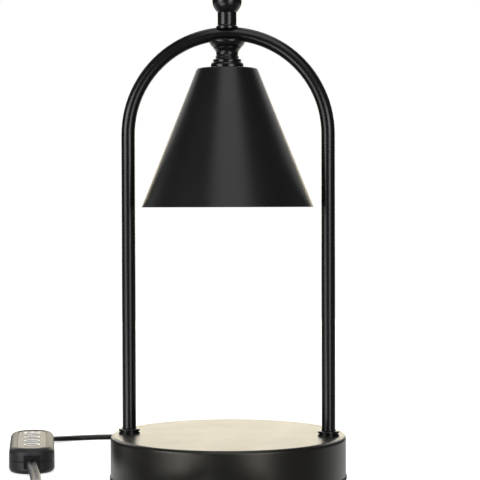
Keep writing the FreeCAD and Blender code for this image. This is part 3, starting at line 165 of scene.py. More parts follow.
def smoothLine(route):
    # points along a smooth spline with the route's points as its control points
    data = bpy.data.curves.new("route", "CURVE")
    data.dimensions = "3D"
    data.resolution_u = cordShape["stepsPerPoint"]
    spline = data.splines.new("NURBS")
    spline.points.add(len(route) - 1)
    for point, place in zip(spline.points, route):
        point.co = (*(Vector(place) * mm), 1)
    spline.order_u = 3
    spline.use_endpoint_u = True
    holder = show("route", data)
    read = bpy.data.meshes.new_from_object(holder)
    line = [v.co.copy() for v in read.vertices]
    bpy.data.objects.remove(holder)
    bpy.data.curves.remove(data)
    bpy.data.meshes.remove(read)
    return line


def twinSection():
    # the outline of a flat twin cord, across and up, in mm
    lobe = cordShape["thickness"] / 2
    out = cordShape["width"] / 2 - lobe
    count, half = cordShape["lobePoints"], cordShape["lobeHalf"]
    section = []
    for side in (1, -1):
        for i in range(count):
            angle = math.radians(-half + 2 * half * i / (count - 1))
            section.append((side * (out + lobe * math.cos(angle)), side * lobe * math.sin(angle)))
        section.append((0, side * cordShape["valley"]))
    return section


def cordTube(name, line):
    section = twinSection()
    corners, faces = [], []
    for i, place in enumerate(line):
        ahead = line[min(i + 1, len(line) - 1)] - line[max(i - 1, 0)]
        across = ahead.cross(up).normalized()
        over = across.cross(ahead).normalized()
        for x, z in section:
            corners.append(place + across * x * mm + over * z * mm)
    size = len(section)
    for i in range(len(line) - 1):
        for j in range(size):
            k = (j + 1) % size
            faces.append((i * size + j, i * size + k, (i + 1) * size + k, (i + 1) * size + j))
    faces.append(list(range(size))[::-1])
    faces.append([(len(line) - 1) * size + j for j in range(size)])
    return meshPiece(name, corners, faces)


def makeCords():
    leadLine = smoothLine(leadRoute)
    lead = cordTube("lead_cord", leadLine)
    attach(lead, "lamp")
    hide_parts("cord_lead")
    mainsLine = smoothLine(runRoute + coilRoute() + tailRoute)
    mains = cordTube("mains_cord", mainsLine)
    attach(mains, "lamp")
    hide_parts("cord_run", "cord_coil", "cord_tail")
    return lead, leadLine, mains


leadCord, leadLine, mainsCord = makeCords()
print("cords laid")


def arcPath(radius, start, end, steps):
    # points round a circle, from and to an angle in degrees
    angles = [math.radians(start + (end - start) * i / steps) for i in range(steps + 1)]
    return [(radius * math.cos(a), radius * math.sin(a)) for a in angles]


marks = {
    "thickness": 0.06,  # mm above the button
    "sink": 0.02,
    "yaw": 103.3,  # degrees, the way from the power button to the timer button
    "timer": [{"path": arcPath(3.45, 0, 360, 72), "width": 0.62, "closed": True},
              {"path": [(-0.6, 2.5), (-0.6, -1.1), (1.9, -1.1)], "width": 0.62}],
    "plus": [{"path": [(0, 2.3), (0, -2.3)], "width": 0.8},
             {"path": [(-2.3, 0), (-0.4, 0)], "width": 0.8},
             {"path": [(0.4, 0), (2.3, 0)], "width": 0.8}],
    "minus": [{"path": [(-2.3, 0), (2.3, 0)], "width": 0.85}],
    "power": [{"path": arcPath(2.45, 125, 415, 60), "width": 0.75},
              {"path": [(0, 3.1), (0, 0.7)], "width": 0.7}],
}

hourLabels = {
    "words": ["8H", "4H", "2H"],
    "pitch": 4.9,  # mm between the lights
    "rise": 2.45,  # mm from a light to the middle of its label
    "size": 2.1,
    "bold": 0.045,
    "curveSteps": 3,
}


def acrossControl(x, y):
    # mm to the right and up on the control's face, turned the way it lies
    yaw = math.radians(marks["yaw"])
    upward = Vector((math.cos(yaw), math.sin(yaw), 0))
    return (upward.cross(up) * x + upward * y) * mm


def strokeCorners(stroke):
    # the two edges of a stroke, mitred at its bends
    path = [Vector(point) for point in stroke["path"]]
    closed = stroke.get("closed", False)
    if closed:
        path = path[:-1]
    count = len(path)
    edges = []
    for i, point in enumerate(path):
        before = path[i - 1] if i or closed else None
        after = path[(i + 1) % count] if i < count - 1 or closed else None
        ways = [(point - before).normalized()] if before else []
        ways += [(after - point).normalized()] if after else []
        sides = [Vector((-way.y, way.x)) for way in ways]
        middle = sum(sides, Vector((0, 0))).normalized()
        reach = stroke["width"] / 2 / middle.dot(sides[0])
        edges.append((point + middle * reach, point - middle * reach))
    return edges, closed


def printedMark(name, body, node, strokes):
    # thin raised strokes on the middle of a button
    low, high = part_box(node)
    centre = Vector(((low.x + high.x) / 2, (low.y + high.y) / 2, high.z))
    corners, faces = [], []
    for stroke in strokes:
        edges, closed = strokeCorners(stroke)
        first, count = len(corners), len(edges)
        foot, top = -marks["sink"], marks["thickness"]
        for left, right in edges:
            for point, rise in ((left, foot), (right, foot), (right, top), (left, top)):
                corners.append(centre + acrossControl(point.x, point.y) + up * rise * mm)
        for i in range(count if closed else count - 1):
            here, there = first + i * 4, first + (i + 1) % count * 4
            for j in range(4):
                k = (j + 1) % 4
                faces.append((here + j, there + j, there + k, here + k))
        if not closed:
            last = first + (count - 1) * 4
            faces += [(first, first + 1, first + 2, first + 3), (last + 3, last + 2, last + 1, last)]
    piece = meshPiece(name, corners, faces, smooth=False)
    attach(piece, body)
    return piece


def printedLabels():
    # the hours beside the three lights
    low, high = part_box("indicator_lenses")
    centre = Vector(((low.x + high.x) / 2, (low.y + high.y) / 2, high.z))
    pieces = []
    for i, word in enumerate(hourLabels["words"]):
        data = bpy.data.curves.new("label", "FONT")
        data.body = word
        data.size = hourLabels["size"] * mm
        data.offset = hourLabels["bold"] * mm
        data.extrude = (marks["thickness"] + marks["sink"]) / 2 * mm
        data.resolution_u = hourLabels["curveSteps"]
        data.align_x = "CENTER"
        data.align_y = "CENTER"
        holder = show("label", data)
        lettering = bpy.data.meshes.new_from_object(holder)
        bpy.data.objects.remove(holder)
        place = centre + acrossControl((i - 1) * hourLabels["pitch"], hourLabels["rise"])
        middle = place + up * (marks["thickness"] - marks["sink"]) / 2 * mm
        corners = [middle + acrossControl(v.co.x / mm, v.co.y / mm) + up * v.co.z
                   for v in lettering.vertices]
        faces = [tuple(f.vertices) for f in lettering.polygons]
        piece = meshPiece("hour_label_" + word.lower(), corners, faces, smooth=False)
        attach(piece, "lamp")
        pieces.append(piece)
    return pieces


timerMark = printedMark("timer_mark", "timer_button_cap", "timer_button", marks["timer"])
plusMark = printedMark("plus_mark", "plus_button_cap", "plus_button", marks["plus"])
minusMark = printedMark("minus_mark", "minus_button_cap", "minus_button", marks["minus"])
powerMark = printedMark("power_mark", "power_button_cap", "power_button", marks["power"])
labels = printedLabels()
print("control marked")


# lengths in mm
bulbShape = {
    "facets": 32,  # flat facets round the inside of the bowl
    "flutes": 64,  # ribs round its outside
    "fluteDepth": 0.22,
    "fluteStart": 0.5,  # mm out from the neck
    "samplesPerFacet": 4,
    "neckRadius": 8.2,
    "stemHole": 3.05,
    "wall": 1.2,
    "rimHeight": 2.8,
    "lip": 0.8,
    "bowlCurve": 34,
    "bands": 6,  # steps of the facets down the bowl
    "outerSteps": 24,
    "filamentTurns": 13,
    "filamentRadius": 0.75,
    "stepsPerTurn": 16,
    "wireRadius": 0.11,
    "wireSides": 8,
}


def bowlArc(start, end, radius, steps):
    # points on an arc that bulges away from the bulb's axis, as (out, up)
    a, b = Vector(start), Vector(end)
    chord = b - a
    side = Vector((-chord.y, chord.x)).normalized()
    centre = (a + b) / 2 + side * math.sqrt(radius ** 2 - (chord.length / 2) ** 2)
    first, last = a - centre, b - centre
    sweep = first.angle_signed(last)
    points = []
    for i in range(steps + 1):
        turn = -sweep * i / steps
        points.append((centre.x + first.x * math.cos(turn) - first.y * math.sin(turn),
                       centre.y + first.x * math.sin(turn) + first.y * math.cos(turn)))
    return points


def makeReflector():
    low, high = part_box("bulb_reflector")
    foot, neck = low.z / mm, high.z / mm
    rim = high.x / mm
    look = bulbShape
    lens = foot + 2 * look["wall"]
    rimTop = foot + look["rimHeight"]
    edge = rim - look["lip"]
    outer = bowlArc((edge, rimTop), (look["neckRadius"], neck), look["bowlCurve"], look["outerSteps"])
    innerEdge = (edge - look["wall"], lens)
    innerNeck = (look["neckRadius"] - look["wall"], neck - look["wall"])
    inner = bowlArc(innerEdge, innerNeck, look["bowlCurve"] - look["wall"], look["bands"])
    profile = [(rim - look["wall"], foot, "plain"), (rim, foot, "plain"), (rim, rimTop, "plain")]
    profile += [(out, level, "fluted") for out, level in outer]
    profile += [(look["stemHole"], neck, "plain"), (look["stemHole"], neck - look["wall"], "plain")]
    profile += [(out, level, "faceted") for out, level in reversed(inner)]
    profile.append((rim - look["wall"], lens, "plain"))
    count = look["facets"] * look["samplesPerFacet"]
    facet = 2 * math.pi / look["facets"]
    corners, faces = [], []
    for out, level, kind in profile:
        for i in range(count):
            angle = 2 * math.pi * i / count
            reach = out
            if kind == "faceted":
                reach = out * math.cos(facet / 2) / math.cos(angle % facet - facet / 2)
            if kind == "fluted" and out > look["neckRadius"] + look["fluteStart"]:
                reach = out - look["fluteDepth"] * (0.5 - 0.5 * math.cos(look["flutes"] * angle))
            corners.append((reach * mm * math.cos(angle), reach * mm * math.sin(angle), level * mm))
    rows = len(profile)
    for i in range(rows):
        j = (i + 1) % rows
        for k in range(count):
            m = (k + 1) % count
            faces.append((i * count + k, i * count + m, j * count + m, j * count + k))
    piece = meshPiece("reflector_bowl", corners, faces)
    for number, face in enumerate(piece.data.polygons):
        face.use_smooth = profile[number // count][2] == "fluted"
    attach(piece, "bulb")
    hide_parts("bulb_reflector")
    return piece


def makeFilament():
    # a wire wound round the bulb's axis
    low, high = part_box("bulb_filament")
    look = bulbShape
    wire, reach = look["wireRadius"] * mm, look["filamentRadius"] * mm
    steps = look["filamentTurns"] * look["stepsPerTurn"]
    line = []
    for i in range(steps + 1):
        angle = 2 * math.pi * i / look["stepsPerTurn"]
        level = low.z + wire + (high.z - low.z - 2 * wire) * i / steps
        line.append(Vector((reach * math.cos(angle), reach * math.sin(angle), level)))
    corners, faces = [], []
    sides = look["wireSides"]
    for i, place in enumerate(line):
        along = (line[min(i + 1, steps)] - line[max(i - 1, 0)]).normalized()
        across = along.cross(up).normalized()
        over = across.cross(along)
        for k in range(sides):
            angle = 2 * math.pi * k / sides
            out = across * math.cos(angle) + over * math.sin(angle)
            corners.append(place + out * look["wireRadius"] * mm)
    for i in range(steps):
        for k in range(sides):
            m = (k + 1) % sides
            faces.append((i * sides + k, i * sides + m, (i + 1) * sides + m, (i + 1) * sides + k))
    faces += [tuple(range(sides))[::-1], tuple(range(steps * sides, (steps + 1) * sides))]
    piece = meshPiece("wound_filament", corners, faces)
    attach(piece, "bulb")
    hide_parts("bulb_filament")
    return piece


reflector = makeReflector()
filament = makeFilament()
print("bulb made")


# lengths in mm
screwShape = {
    "base_screws": {"head": 3, "headHeight": 1.8, "shank": 1.5, "facing": -1},
    "control_screws": {"head": 1.9, "headHeight": 1.2, "shank": 1, "facing": -1},
    "socket_screws": {"head": 2.4, "headHeight": 1.6, "shank": 1.2, "facing": 1},
    "sides": 32,
    "apart": 3,  # vertices further apart than so many head radii are on different screws
    "edge": 0.18,  # share of the head's radius that is rounded
    "edgeSteps": 4,
    "chamfer": 0.4,  # mm, at the shank's end
    "crossReach": 0.6,
    "crossWidth": 0.15,
    "crossDepth": 0.65,  # share of the head's height
    "crossTaper": 0.6,
}


def screwPlaces(node, apart):
    # the middle, foot and top of each screw in a node
    groups = []
    for vertex in nodes[node].data.vertices:
        near = [group for group in groups if (group[0].xy - vertex.co.xy).length < apart]
        if near:
            near[0].append(vertex.co)
        else:
            groups.append([vertex.co])
    places = []
    for group in groups:
        low = Vector(min(c[i] for c in group) for i in range(3))
        high = Vector(max(c[i] for c in group) for i in range(3))
        places.append(((low.x + high.x) / 2, (low.y + high.y) / 2, low.z, high.z))
    return places


def crossOutline(reach, half):
    quarter = [(reach, -half), (reach, half), (half, half)]
    outline = []
    for i in range(4):
        turn = Matrix.Rotation(i * math.pi / 2, 2)
        outline += [turn @ Vector(point) for point in quarter]
    return outline


def screwSet(name, node):
    # pan heads with a cross recess, each on its shank
    look = screwShape[node]
    head, sides = look["head"], screwShape["sides"]
    edge, steps = screwShape["edge"] * head, screwShape["edgeSteps"]
    chamfer = screwShape["chamfer"]
    recess = screwShape["crossDepth"] * look["headHeight"]
    corners, faces = [], []
    for x, y, foot, top in screwPlaces(node, head * screwShape["apart"] * mm):
        outside = top if look["facing"] > 0 else foot
        length = (top - foot) / mm
        angles = [math.pi / 2 * i / steps for i in range(steps + 1)]
        rings = [(head - edge * (1 - math.sin(a)), edge * (1 - math.cos(a))) for a in angles]
        rings += [(head, look["headHeight"]), (look["shank"], look["headHeight"]),
                  (look["shank"], length - chamfer), (look["shank"] - chamfer, length)]
        first = len(corners)
        for out, depth in rings:
            for k in range(sides):
                angle = 2 * math.pi * k / sides
                corners.append((x + out * mm * math.cos(angle), y + out * mm * math.sin(angle),
                                outside - look["facing"] * depth * mm))
        for i in range(len(rings) - 1):
            for k in range(sides):
                m = (k + 1) % sides
                faces.append((first + i * sides + k, first + i * sides + m,
                              first + (i + 1) * sides + m, first + (i + 1) * sides + k))
        faces.append([first + (len(rings) - 1) * sides + k for k in range(sides)])
        mouth = crossOutline(screwShape["crossReach"] * head, screwShape["crossWidth"] * head)
        start, count = len(corners), len(mouth)
        for share, depth in ((1, 0), (screwShape["crossTaper"], recess)):
            for point in mouth:
                corners.append((x + point.x * share * mm, y + point.y * share * mm,
                                outside - look["facing"] * depth * mm))
        for k in range(count):
            m = (k + 1) % count
            faces.append((start + k, start + m, start + count + m, start + count + k))
        faces.append([start + count + k for k in range(count)])
        rim = list(range(first, first + sides))
        cross = list(range(start, start + count))
        loops = [[Vector(corners[c]) for c in rim], [Vector(corners[c]) for c in cross]]
        for triangle in tessellate_polygon(loops):
            faces.append([(rim + cross)[c] for c in triangle])
    piece = meshPiece(name, corners, faces, smooth=False)
    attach(piece, "lamp")
    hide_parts(node)
    return piece


screws = [
    screwSet("base_cross_screws", "base_screws"),
    screwSet("control_cross_screws", "control_screws"),
    screwSet("socket_cross_screws", "socket_screws"),
]
print("screws made")


def addNode(tree, kind, inputs=None, **settings):
    # inputs are other nodes' sockets or plain values; settings are the node's own choices
    made = tree.nodes.new(kind)
    for key, setting in settings.items():
        setattr(made, key, setting)
    for key, source in (inputs or {}).items():
        if isinstance(source, bpy.types.NodeSocket):
            tree.links.new(source, made.inputs[key])
        else:
            made.inputs[key].default_value = source
    return made


def calc(tree, operation, *terms, **settings):
    return addNode(tree, "ShaderNodeMath", dict(enumerate(terms)), operation=operation, **settings).outputs[0]


def remap(tree, value, span, smooth=False):
    # span holds the Map Range node's own From and To values
    kind = "SMOOTHSTEP" if smooth else "LINEAR"
    return addNode(tree, "ShaderNodeMapRange", {"Value": value, **span}, interpolation_type=kind).outputs[0]


# a Mix node takes colours on its inputs 6 and 7 and numbers on 2 and 3
def mixColours(tree, share, first, second):
    inputs = {"Factor": share, 6: first, 7: second}
    return addNode(tree, "ShaderNodeMix", inputs, data_type="RGBA").outputs[2]


def mixNumbers(tree, share, first, second):
    inputs = {"Factor": share, 2: first, 3: second}
    return addNode(tree, "ShaderNodeMix", inputs, data_type="FLOAT").outputs[0]


def mixShaders(tree, share, first, second):
    return addNode(tree, "ShaderNodeMixShader", {0: share, 1: first, 2: second}).outputs[0]


def colour(red, green, blue):
    # a colour given as it looks on a screen, 0 to 255
    def linear(level):
        share = level / 255
        return share / 12.92 if share <= 0.04045 else ((share + 0.055) / 1.055) ** 2.4
    return (linear(red), linear(green), linear(blue), 1)


def newGroup(name, inputs, outputs):
    # inputs are (name, kind, start value), outputs are (name, kind)
    tree = bpy.data.node_groups.new(name, "ShaderNodeTree")
    for label, kind, start in inputs:
        socket = tree.interface.new_socket(name=label, in_out="INPUT", socket_type="NodeSocket" + kind)
        socket.default_value = start
    for label, kind in outputs:
        tree.interface.new_socket(name=label, in_out="OUTPUT", socket_type="NodeSocket" + kind)
    return tree, tree.nodes.new("NodeGroupInput").outputs, tree.nodes.new("NodeGroupOutput").inputs


dust = {
    "colour": colour(150, 145, 138),
    "slope": {"From Min": 0.4, "From Max": 1.0},  # it lies where a face looks upwards
    "specks": {"From Min": 0.55, "From Max": 0.75},
    "speckScale": 900.0,
    "roughening": 0.5,
}


def finishGroup():
    # slow changes over a finish: its colour and its roughness drift a little, and dust settles on top
    tree, given, result = newGroup(
        "finishDrift",
        [("Colour", "Color", (0.5, 0.5, 0.5, 1)), ("Roughness", "Float", 0.5), ("Size", "Float", 40),
         ("Colour Drift", "Float", 0.1), ("Roughness Drift", "Float", 0.1), ("Dust", "Float", 0.0)],
        [("Colour", "Color"), ("Roughness", "Float")])
    place = addNode(tree, "ShaderNodeTexCoord").outputs["Object"]
    cloud = addNode(tree, "ShaderNodeTexNoise",
                    {"Vector": place, "Scale": given["Size"], "Detail": 4.0, "Roughness": 0.6})
    centred = calc(tree, "SUBTRACT", cloud.outputs["Fac"], 0.5)
    shadeStep = calc(tree, "MULTIPLY_ADD", centred, given["Colour Drift"], 1.0)
    tinted = addNode(tree, "ShaderNodeVectorMath", {0: given["Colour"], "Scale": shadeStep},
                     operation="SCALE")
    normal = addNode(tree, "ShaderNodeNewGeometry").outputs["Normal"]
    facing = addNode(tree, "ShaderNodeSeparateXYZ", {0: normal})
    upward = remap(tree, facing.outputs["Z"], dust["slope"])
    specks = addNode(tree, "ShaderNodeTexNoise",
                     {"Vector": place, "Scale": dust["speckScale"], "Detail": 2.0})
    speckMask = remap(tree, specks.outputs["Fac"], dust["specks"])
    dustHere = calc(tree, "MULTIPLY", calc(tree, "MULTIPLY", upward, speckMask), given["Dust"])
    dusty = mixColours(tree, dustHere, tinted.outputs[0], dust["colour"])
    rough = calc(tree, "MULTIPLY_ADD", centred, given["Roughness Drift"], given["Roughness"])
    dustyRough = calc(tree, "MULTIPLY_ADD", dustHere, dust["roughening"], rough, use_clamp=True)
    tree.links.new(dusty, result["Colour"])
    tree.links.new(dustyRough, result["Roughness"])
    return tree


def grainGroup():
    # the fine relief of a powder coat, a spark-eroded mould or a cast face
    tree, given, result = newGroup(
        "surfaceGrain",
        [("Grain Size", "Float", 2500), ("Wave Size", "Float", 120), ("Wave Share", "Float", 0.3)],
        [("Height", "Float")])
    place = addNode(tree, "ShaderNodeTexCoord").outputs["Object"]
    grain = addNode(tree, "ShaderNodeTexNoise",
                    {"Vector": place, "Scale": given["Grain Size"], "Detail": 3.0, "Roughness": 0.55})
    wave = addNode(tree, "ShaderNodeTexNoise", {"Vector": place, "Scale": given["Wave Size"], "Detail": 1.0})
    both = mixNumbers(tree, given["Wave Share"], grain.outputs["Fac"], wave.outputs["Fac"])
    tree.links.new(both, result["Height"])
    return tree


finishDrift = finishGroup()
surfaceGrain = grainGroup()

# what a finish has unless its own entry in looks says otherwise
usualFinish = {
    "colourDrift": 0.15,
    "roughnessDrift": 0.08,
    "driftSize": 40,
    "dust": 0.0,
    "bump": 0.1,
    "bumpDepth": 0.0002,  # metres
    "grainSize": 2500,
    "waveSize": 120,
    "waveShare": 0.3,
    "metallic": 0.0,
    "ior": 1.5,
    "tint": (1, 1, 1, 1),
    "transmission": 0.0,
    "glow": 0.0,
}

looks = {
    "framePaint": {"colour": colour(11, 11, 11), "roughness": 0.24, "roughnessDrift": 0.05, "bump": 0.008,
                   "grainSize": 1800, "waveSize": 160, "waveShare": 0.2, "dust": 0.02},
    # basePaint's tint warms the paint's reflections: painted warm light, seen mostly on the base's wall
    "basePaint": {"colour": colour(14, 13, 12), "roughness": 0.34, "bump": 0.07, "ior": 1.6,
                  "tint": (1, 0.975, 0.87, 1), "grainSize": 2200, "waveSize": 60, "waveShare": 0.35,
                  "dust": 0.02},
    "padRubber": {"colour": colour(14, 14, 14), "roughness": 0.75, "bump": 0.3, "grainSize": 1500,
                  "waveShare": 0.1},
    "coverFibre": {"colour": colour(60, 52, 44), "roughness": 0.85, "bump": 0.4, "grainSize": 900},
    "platedSteel": {"colour": colour(190, 190, 186), "roughness": 0.3, "metallic": 1.0, "bump": 0.08},
    "ballastIron": {"colour": colour(70, 66, 62), "roughness": 0.6, "metallic": 0.8, "bump": 0.5,
                    "grainSize": 700},
    "cordRubber": {"colour": colour(16, 16, 16), "roughness": 0.36, "bump": 0.12, "grainSize": 1200,
                   "waveSize": 90, "waveShare": 0.6, "dust": 0.03},
    "ceramic": {"colour": colour(228, 224, 214), "roughness": 0.45, "bump": 0.15, "grainSize": 1600,
                "colourDrift": 0.05},
    "contactBrass": {"colour": colour(205, 190, 150), "roughness": 0.25, "metallic": 1.0, "bump": 0.05},
    "controlPlastic": {"colour": colour(30, 30, 31), "roughness": 0.47, "bump": 0.35, "grainSize": 3200,
                       "waveShare": 0.05, "dust": 0.03},
    "controlPanel": {"colour": colour(40, 40, 41), "roughness": 0.42, "bump": 0.16, "grainSize": 4200,
                     "waveShare": 0.05, "dust": 0.02},
    "ringPlastic": {"colour": colour(226, 226, 224), "roughness": 0.35, "bump": 0.05, "colourDrift": 0.04},
    "buttonPlastic": {"colour": colour(62, 62, 63), "roughness": 0.5, "bump": 0.2, "grainSize": 3600},
    "printWhite": {"colour": colour(232, 232, 230), "roughness": 0.5, "bump": 0.05, "colourDrift": 0.03},
    "printPink": {"colour": colour(196, 66, 120), "roughness": 0.5, "bump": 0.05, "colourDrift": 0.05},
    "boardLaminate": {"colour": colour(24, 74, 44), "roughness": 0.45},
    "switchPlastic": {"colour": colour(20, 20, 20), "roughness": 0.5},
    "tiePlastic": {"colour": colour(18, 18, 18), "roughness": 0.4, "grainSize": 1500},
    "plugPlastic": {"colour": colour(17, 17, 17), "roughness": 0.38, "bump": 0.18, "grainSize": 1800,
                    "dust": 0.03},
    "shadePaint": {"colour": colour(13, 13, 13), "roughness": 0.34, "bump": 0.08, "grainSize": 2400,
                   "waveSize": 50, "waveShare": 0.4, "dust": 0.02},
    "bulbGlass": {"colour": colour(252, 253, 251), "roughness": 0.03, "roughnessDrift": 0.02, "bump": 0.04,
                  "colourDrift": 0.02, "grainSize": 300, "waveShare": 0.8, "transmission": 1.0},
    "bulbMirror": {"colour": colour(214, 214, 220), "roughness": 0.1, "roughnessDrift": 0.04,
                   "colourDrift": 0.1, "metallic": 1.0, "grainSize": 900},
    "bulbGlow": {"colour": colour(255, 214, 150), "roughness": 0.5, "metallic": 1.0, "glow": 4.0},
    "lightPipe": {"colour": colour(238, 238, 236), "roughness": 0.2, "bump": 0.03, "colourDrift": 0.03,
                  "transmission": 0.2},
}


def newMaterial(name):
    made = bpy.data.materials.new(name)
    made.use_nodes = True
    return made, made.node_tree


def finishMaterial(name):
    # colour and roughness that drift over a fine grain
    look = {**usualFinish, **looks[name]}
    made, tree = newMaterial(name)
    shader = tree.nodes["Principled BSDF"].inputs
    drift = addNode(tree, "ShaderNodeGroup", {
        "Colour": look["colour"], "Roughness": look["roughness"], "Size": look["driftSize"],
        "Colour Drift": look["colourDrift"], "Roughness Drift": look["roughnessDrift"],
        "Dust": look["dust"]}, node_tree=finishDrift)
    tree.links.new(drift.outputs["Colour"], shader["Base Color"])
    tree.links.new(drift.outputs["Roughness"], shader["Roughness"])
    grain = addNode(tree, "ShaderNodeGroup", {
        "Grain Size": look["grainSize"], "Wave Size": look["waveSize"],
        "Wave Share": look["waveShare"]}, node_tree=surfaceGrain)
    bump = addNode(tree, "ShaderNodeBump", {
        "Height": grain.outputs["Height"], "Strength": look["bump"], "Distance": look["bumpDepth"]})
    tree.links.new(bump.outputs["Normal"], shader["Normal"])
    shader["Metallic"].default_value = look["metallic"]
    shader["IOR"].default_value = look["ior"]
    # a tint other than white paints a warm cast of light into the reflections
    shader["Specular Tint"].default_value = look["tint"]
    shader["Transmission Weight"].default_value = look["transmission"]
    if look["glow"]:
        shader["Emission Color"].default_value = look["colour"]
        shader["Emission Strength"].default_value = look["glow"]
    return made


shadeInside = {
    "colour": colour(214, 209, 198),
    "roughness": 0.55,
    "inwardLimit": -0.0002,  # metres off the axis times the face's outward turn, inner faces are below it
    "ceilingSlope": -0.8,  # the underside of the flat top looks down more than this
    "rimBand": 2,  # mm, the rim's own edge stays black
}


def paintInside(made):
    # black outside, off-white inside: the inner face is where the surface looks towards the lamp's axis
    tree = made.node_tree
    shader = tree.nodes["Principled BSDF"].inputs
    place = addNode(tree, "ShaderNodeTexCoord").outputs["Object"]
    normal = addNode(tree, "ShaderNodeNewGeometry").outputs["Normal"]
    flatten = (1, 1, 0)
    outward = addNode(tree, "ShaderNodeVectorMath", {0: place, 1: flatten}, operation="MULTIPLY").outputs[0]
    along = addNode(tree, "ShaderNodeVectorMath", {0: outward, 1: normal}, operation="DOT_PRODUCT")
    inner = calc(tree, "LESS_THAN", along.outputs["Value"], shadeInside["inwardLimit"])
    slope = addNode(tree, "ShaderNodeSeparateXYZ", {0: normal}).outputs["Z"]
    ceiling = calc(tree, "LESS_THAN", slope, shadeInside["ceilingSlope"])
    height = addNode(tree, "ShaderNodeSeparateXYZ", {0: place}).outputs["Z"]
    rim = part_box("shade")[0].z + shadeInside["rimBand"] * mm
    ceilingInside = calc(tree, "MULTIPLY", ceiling, calc(tree, "GREATER_THAN", height, rim))
    inside = calc(tree, "MAXIMUM", inner, ceilingInside)
    outsideColour = shader["Base Color"].links[0].from_socket
    outsideRough = shader["Roughness"].links[0].from_socket
    tree.links.new(mixColours(tree, inside, outsideColour, shadeInside["colour"]), shader["Base Color"])
    tree.links.new(mixNumbers(tree, inside, outsideRough, shadeInside["roughness"]), shader["Roughness"])


materials = {name: finishMaterial(name) for name in looks}
paintInside(materials["shadePaint"])

finishOfSlot = {
    "pad_rubber": "padRubber", "cover_fibre": "coverFibre", "plated_steel": "platedSteel",
    "ballast_iron": "ballastIron", "base_paint": "basePaint", "cord_rubber": "cordRubber",
    "frame_paint": "framePaint", "shade_paint": "shadePaint", "socket_ceramic": "ceramic",
    "contact_brass": "contactBrass", "bulb_reflector": "bulbMirror", "bulb_glass": "bulbGlass",
    "control_plastic": "controlPlastic", "control_panel": "controlPanel", "ring_plastic": "ringPlastic",
    "button_plastic": "buttonPlastic", "indicator_lens": "lightPipe", "board_laminate": "boardLaminate",
    "switch_plastic": "switchPlastic", "tie_plastic": "tiePlastic", "plug_plastic": "plugPlastic",
}


def dressPieces():
    slots = {part["node"]: part["material_slot"] for part in frame["record"]["subparts"]}
    for name, node in nodes.items():
        finish = "bulbGlow" if name == "bulb_filament" else finishOfSlot[slots[name]]
        node.data.materials.clear()
        node.data.materials.append(materials[finish])
    ownPieces = {
        "cordRubber": [leadCord, mainsCord],
        "printWhite": [timerMark, plusMark, minusMark] + labels,
        "printPink": [powerMark],
        "bulbMirror": [reflector],
        "bulbGlow": [filament],
        "platedSteel": screws,
    }
    for finish, pieces in ownPieces.items():
        for piece in pieces:
            piece.data.materials.append(materials[finish])


dressPieces()
print("finishes on")


# azimuths are degrees to the right of the front, elevations degrees upwards, lengths metres
studio = {
    "leftLow": {"azimuth": -33.5, "distance": 0.9, "width": 0.56, "low": -0.3, "high": -0.04, "level": 3.6},
    "leftStrip": {"azimuth": -46, "distance": 0.9, "width": 0.54, "low": -0.04, "high": 0.24, "level": 2.0},
    "leftTop": {"azimuth": -46, "distance": 0.9, "width": 0.52, "low": 0.24, "high": 0.48, "level": 4.9},
    "rightStrip": {"azimuth": 33, "distance": 1.0, "width": 0.4, "low": -0.17, "high": 0.22, "level": 2.3},
    "rightTop": {"azimuth": 35, "distance": 1.0, "width": 0.48, "low": 0.22, "high": 0.47, "level": 4.8},
    "backPanel": {"azimuth": 186, "distance": 1.5, "width": 1.3, "low": 0.1, "high": 0.55, "level": 2.9,
                  "colour": (1.0, 0.885, 0.64)},
    "frontPanel": {"azimuth": 11.5, "elevation": 54, "distance": 1.1, "width": 0.9, "height": 0.9,
                   "level": 1.35},
    "overhead": {"azimuth": 186, "elevation": 76, "distance": 1.1, "width": 0.9, "height": 0.4, "level": 1.5},
    "aim": 0.2,  # the height that the front and overhead panels point at
}


def areaLight(name, place, target, width, height, look):
    # level is how bright the panel looks, 1 for white
    data = bpy.data.lights.new(name, "AREA")
    data.shape = "RECTANGLE"
    data.size = width
    data.size_y = height
    data.energy = look["level"] * math.pi * width * height
    data.color = look.get("colour", (1, 1, 1))
    panel = show(name, data)
    panel.location = place
    panel.rotation_euler = (Vector(target) - Vector(place)).to_track_quat("-Z", "Y").to_euler()
    panel.visible_camera = False


def uprightPanel(name):
    look = studio[name]
    azimuth = math.radians(look["azimuth"])
    middle = (look["high"] + look["low"]) / 2
    place = (look["distance"] * math.sin(azimuth), -look["distance"] * math.cos(azimuth), middle)
    areaLight(name, place, (0, 0, middle), look["width"], look["high"] - look["low"], look)


def tiltedPanel(name):
    look = studio[name]
    azimuth, elevation = math.radians(look["azimuth"]), math.radians(look["elevation"])
    out = look["distance"] * math.cos(elevation)
    height = studio["aim"] + look["distance"] * math.sin(elevation)
    place = (out * math.sin(azimuth), -out * math.cos(azimuth), height)
    areaLight(name, place, (0, 0, studio["aim"]), look["width"], look["height"], look)


# the surroundings that faces mirror; From values say how far a direction points up or to the back,
# where 1 is wholly
room = {
    "ambient": 0.55,  # what matt faces get from every side
    "wall": {"From Min": 0.86, "From Max": 0.98, "To Min": 0.05, "To Max": 0.8},  # white behind, dark beside
    "widening": {"From Min": 0.17, "From Max": 0.42, "To Max": 0.36},  # the wall is wider higher up
    "rise": {"From Min": 0.12, "From Max": 0.3, "To Min": 0.5, "To Max": 1.6},  # and brighter
    "fall": {"From Min": 0.4, "From Max": 0.75, "To Min": 1.0, "To Max": 0.3},  # and dark again overhead
    "table": {"From Min": -0.1, "From Max": 0.8, "To Min": 0.12, "To Max": 0.95},  # bright at the back
    "horizon": {"From Min": -0.08, "From Max": -0.13},  # the wall ends and the table begins
}


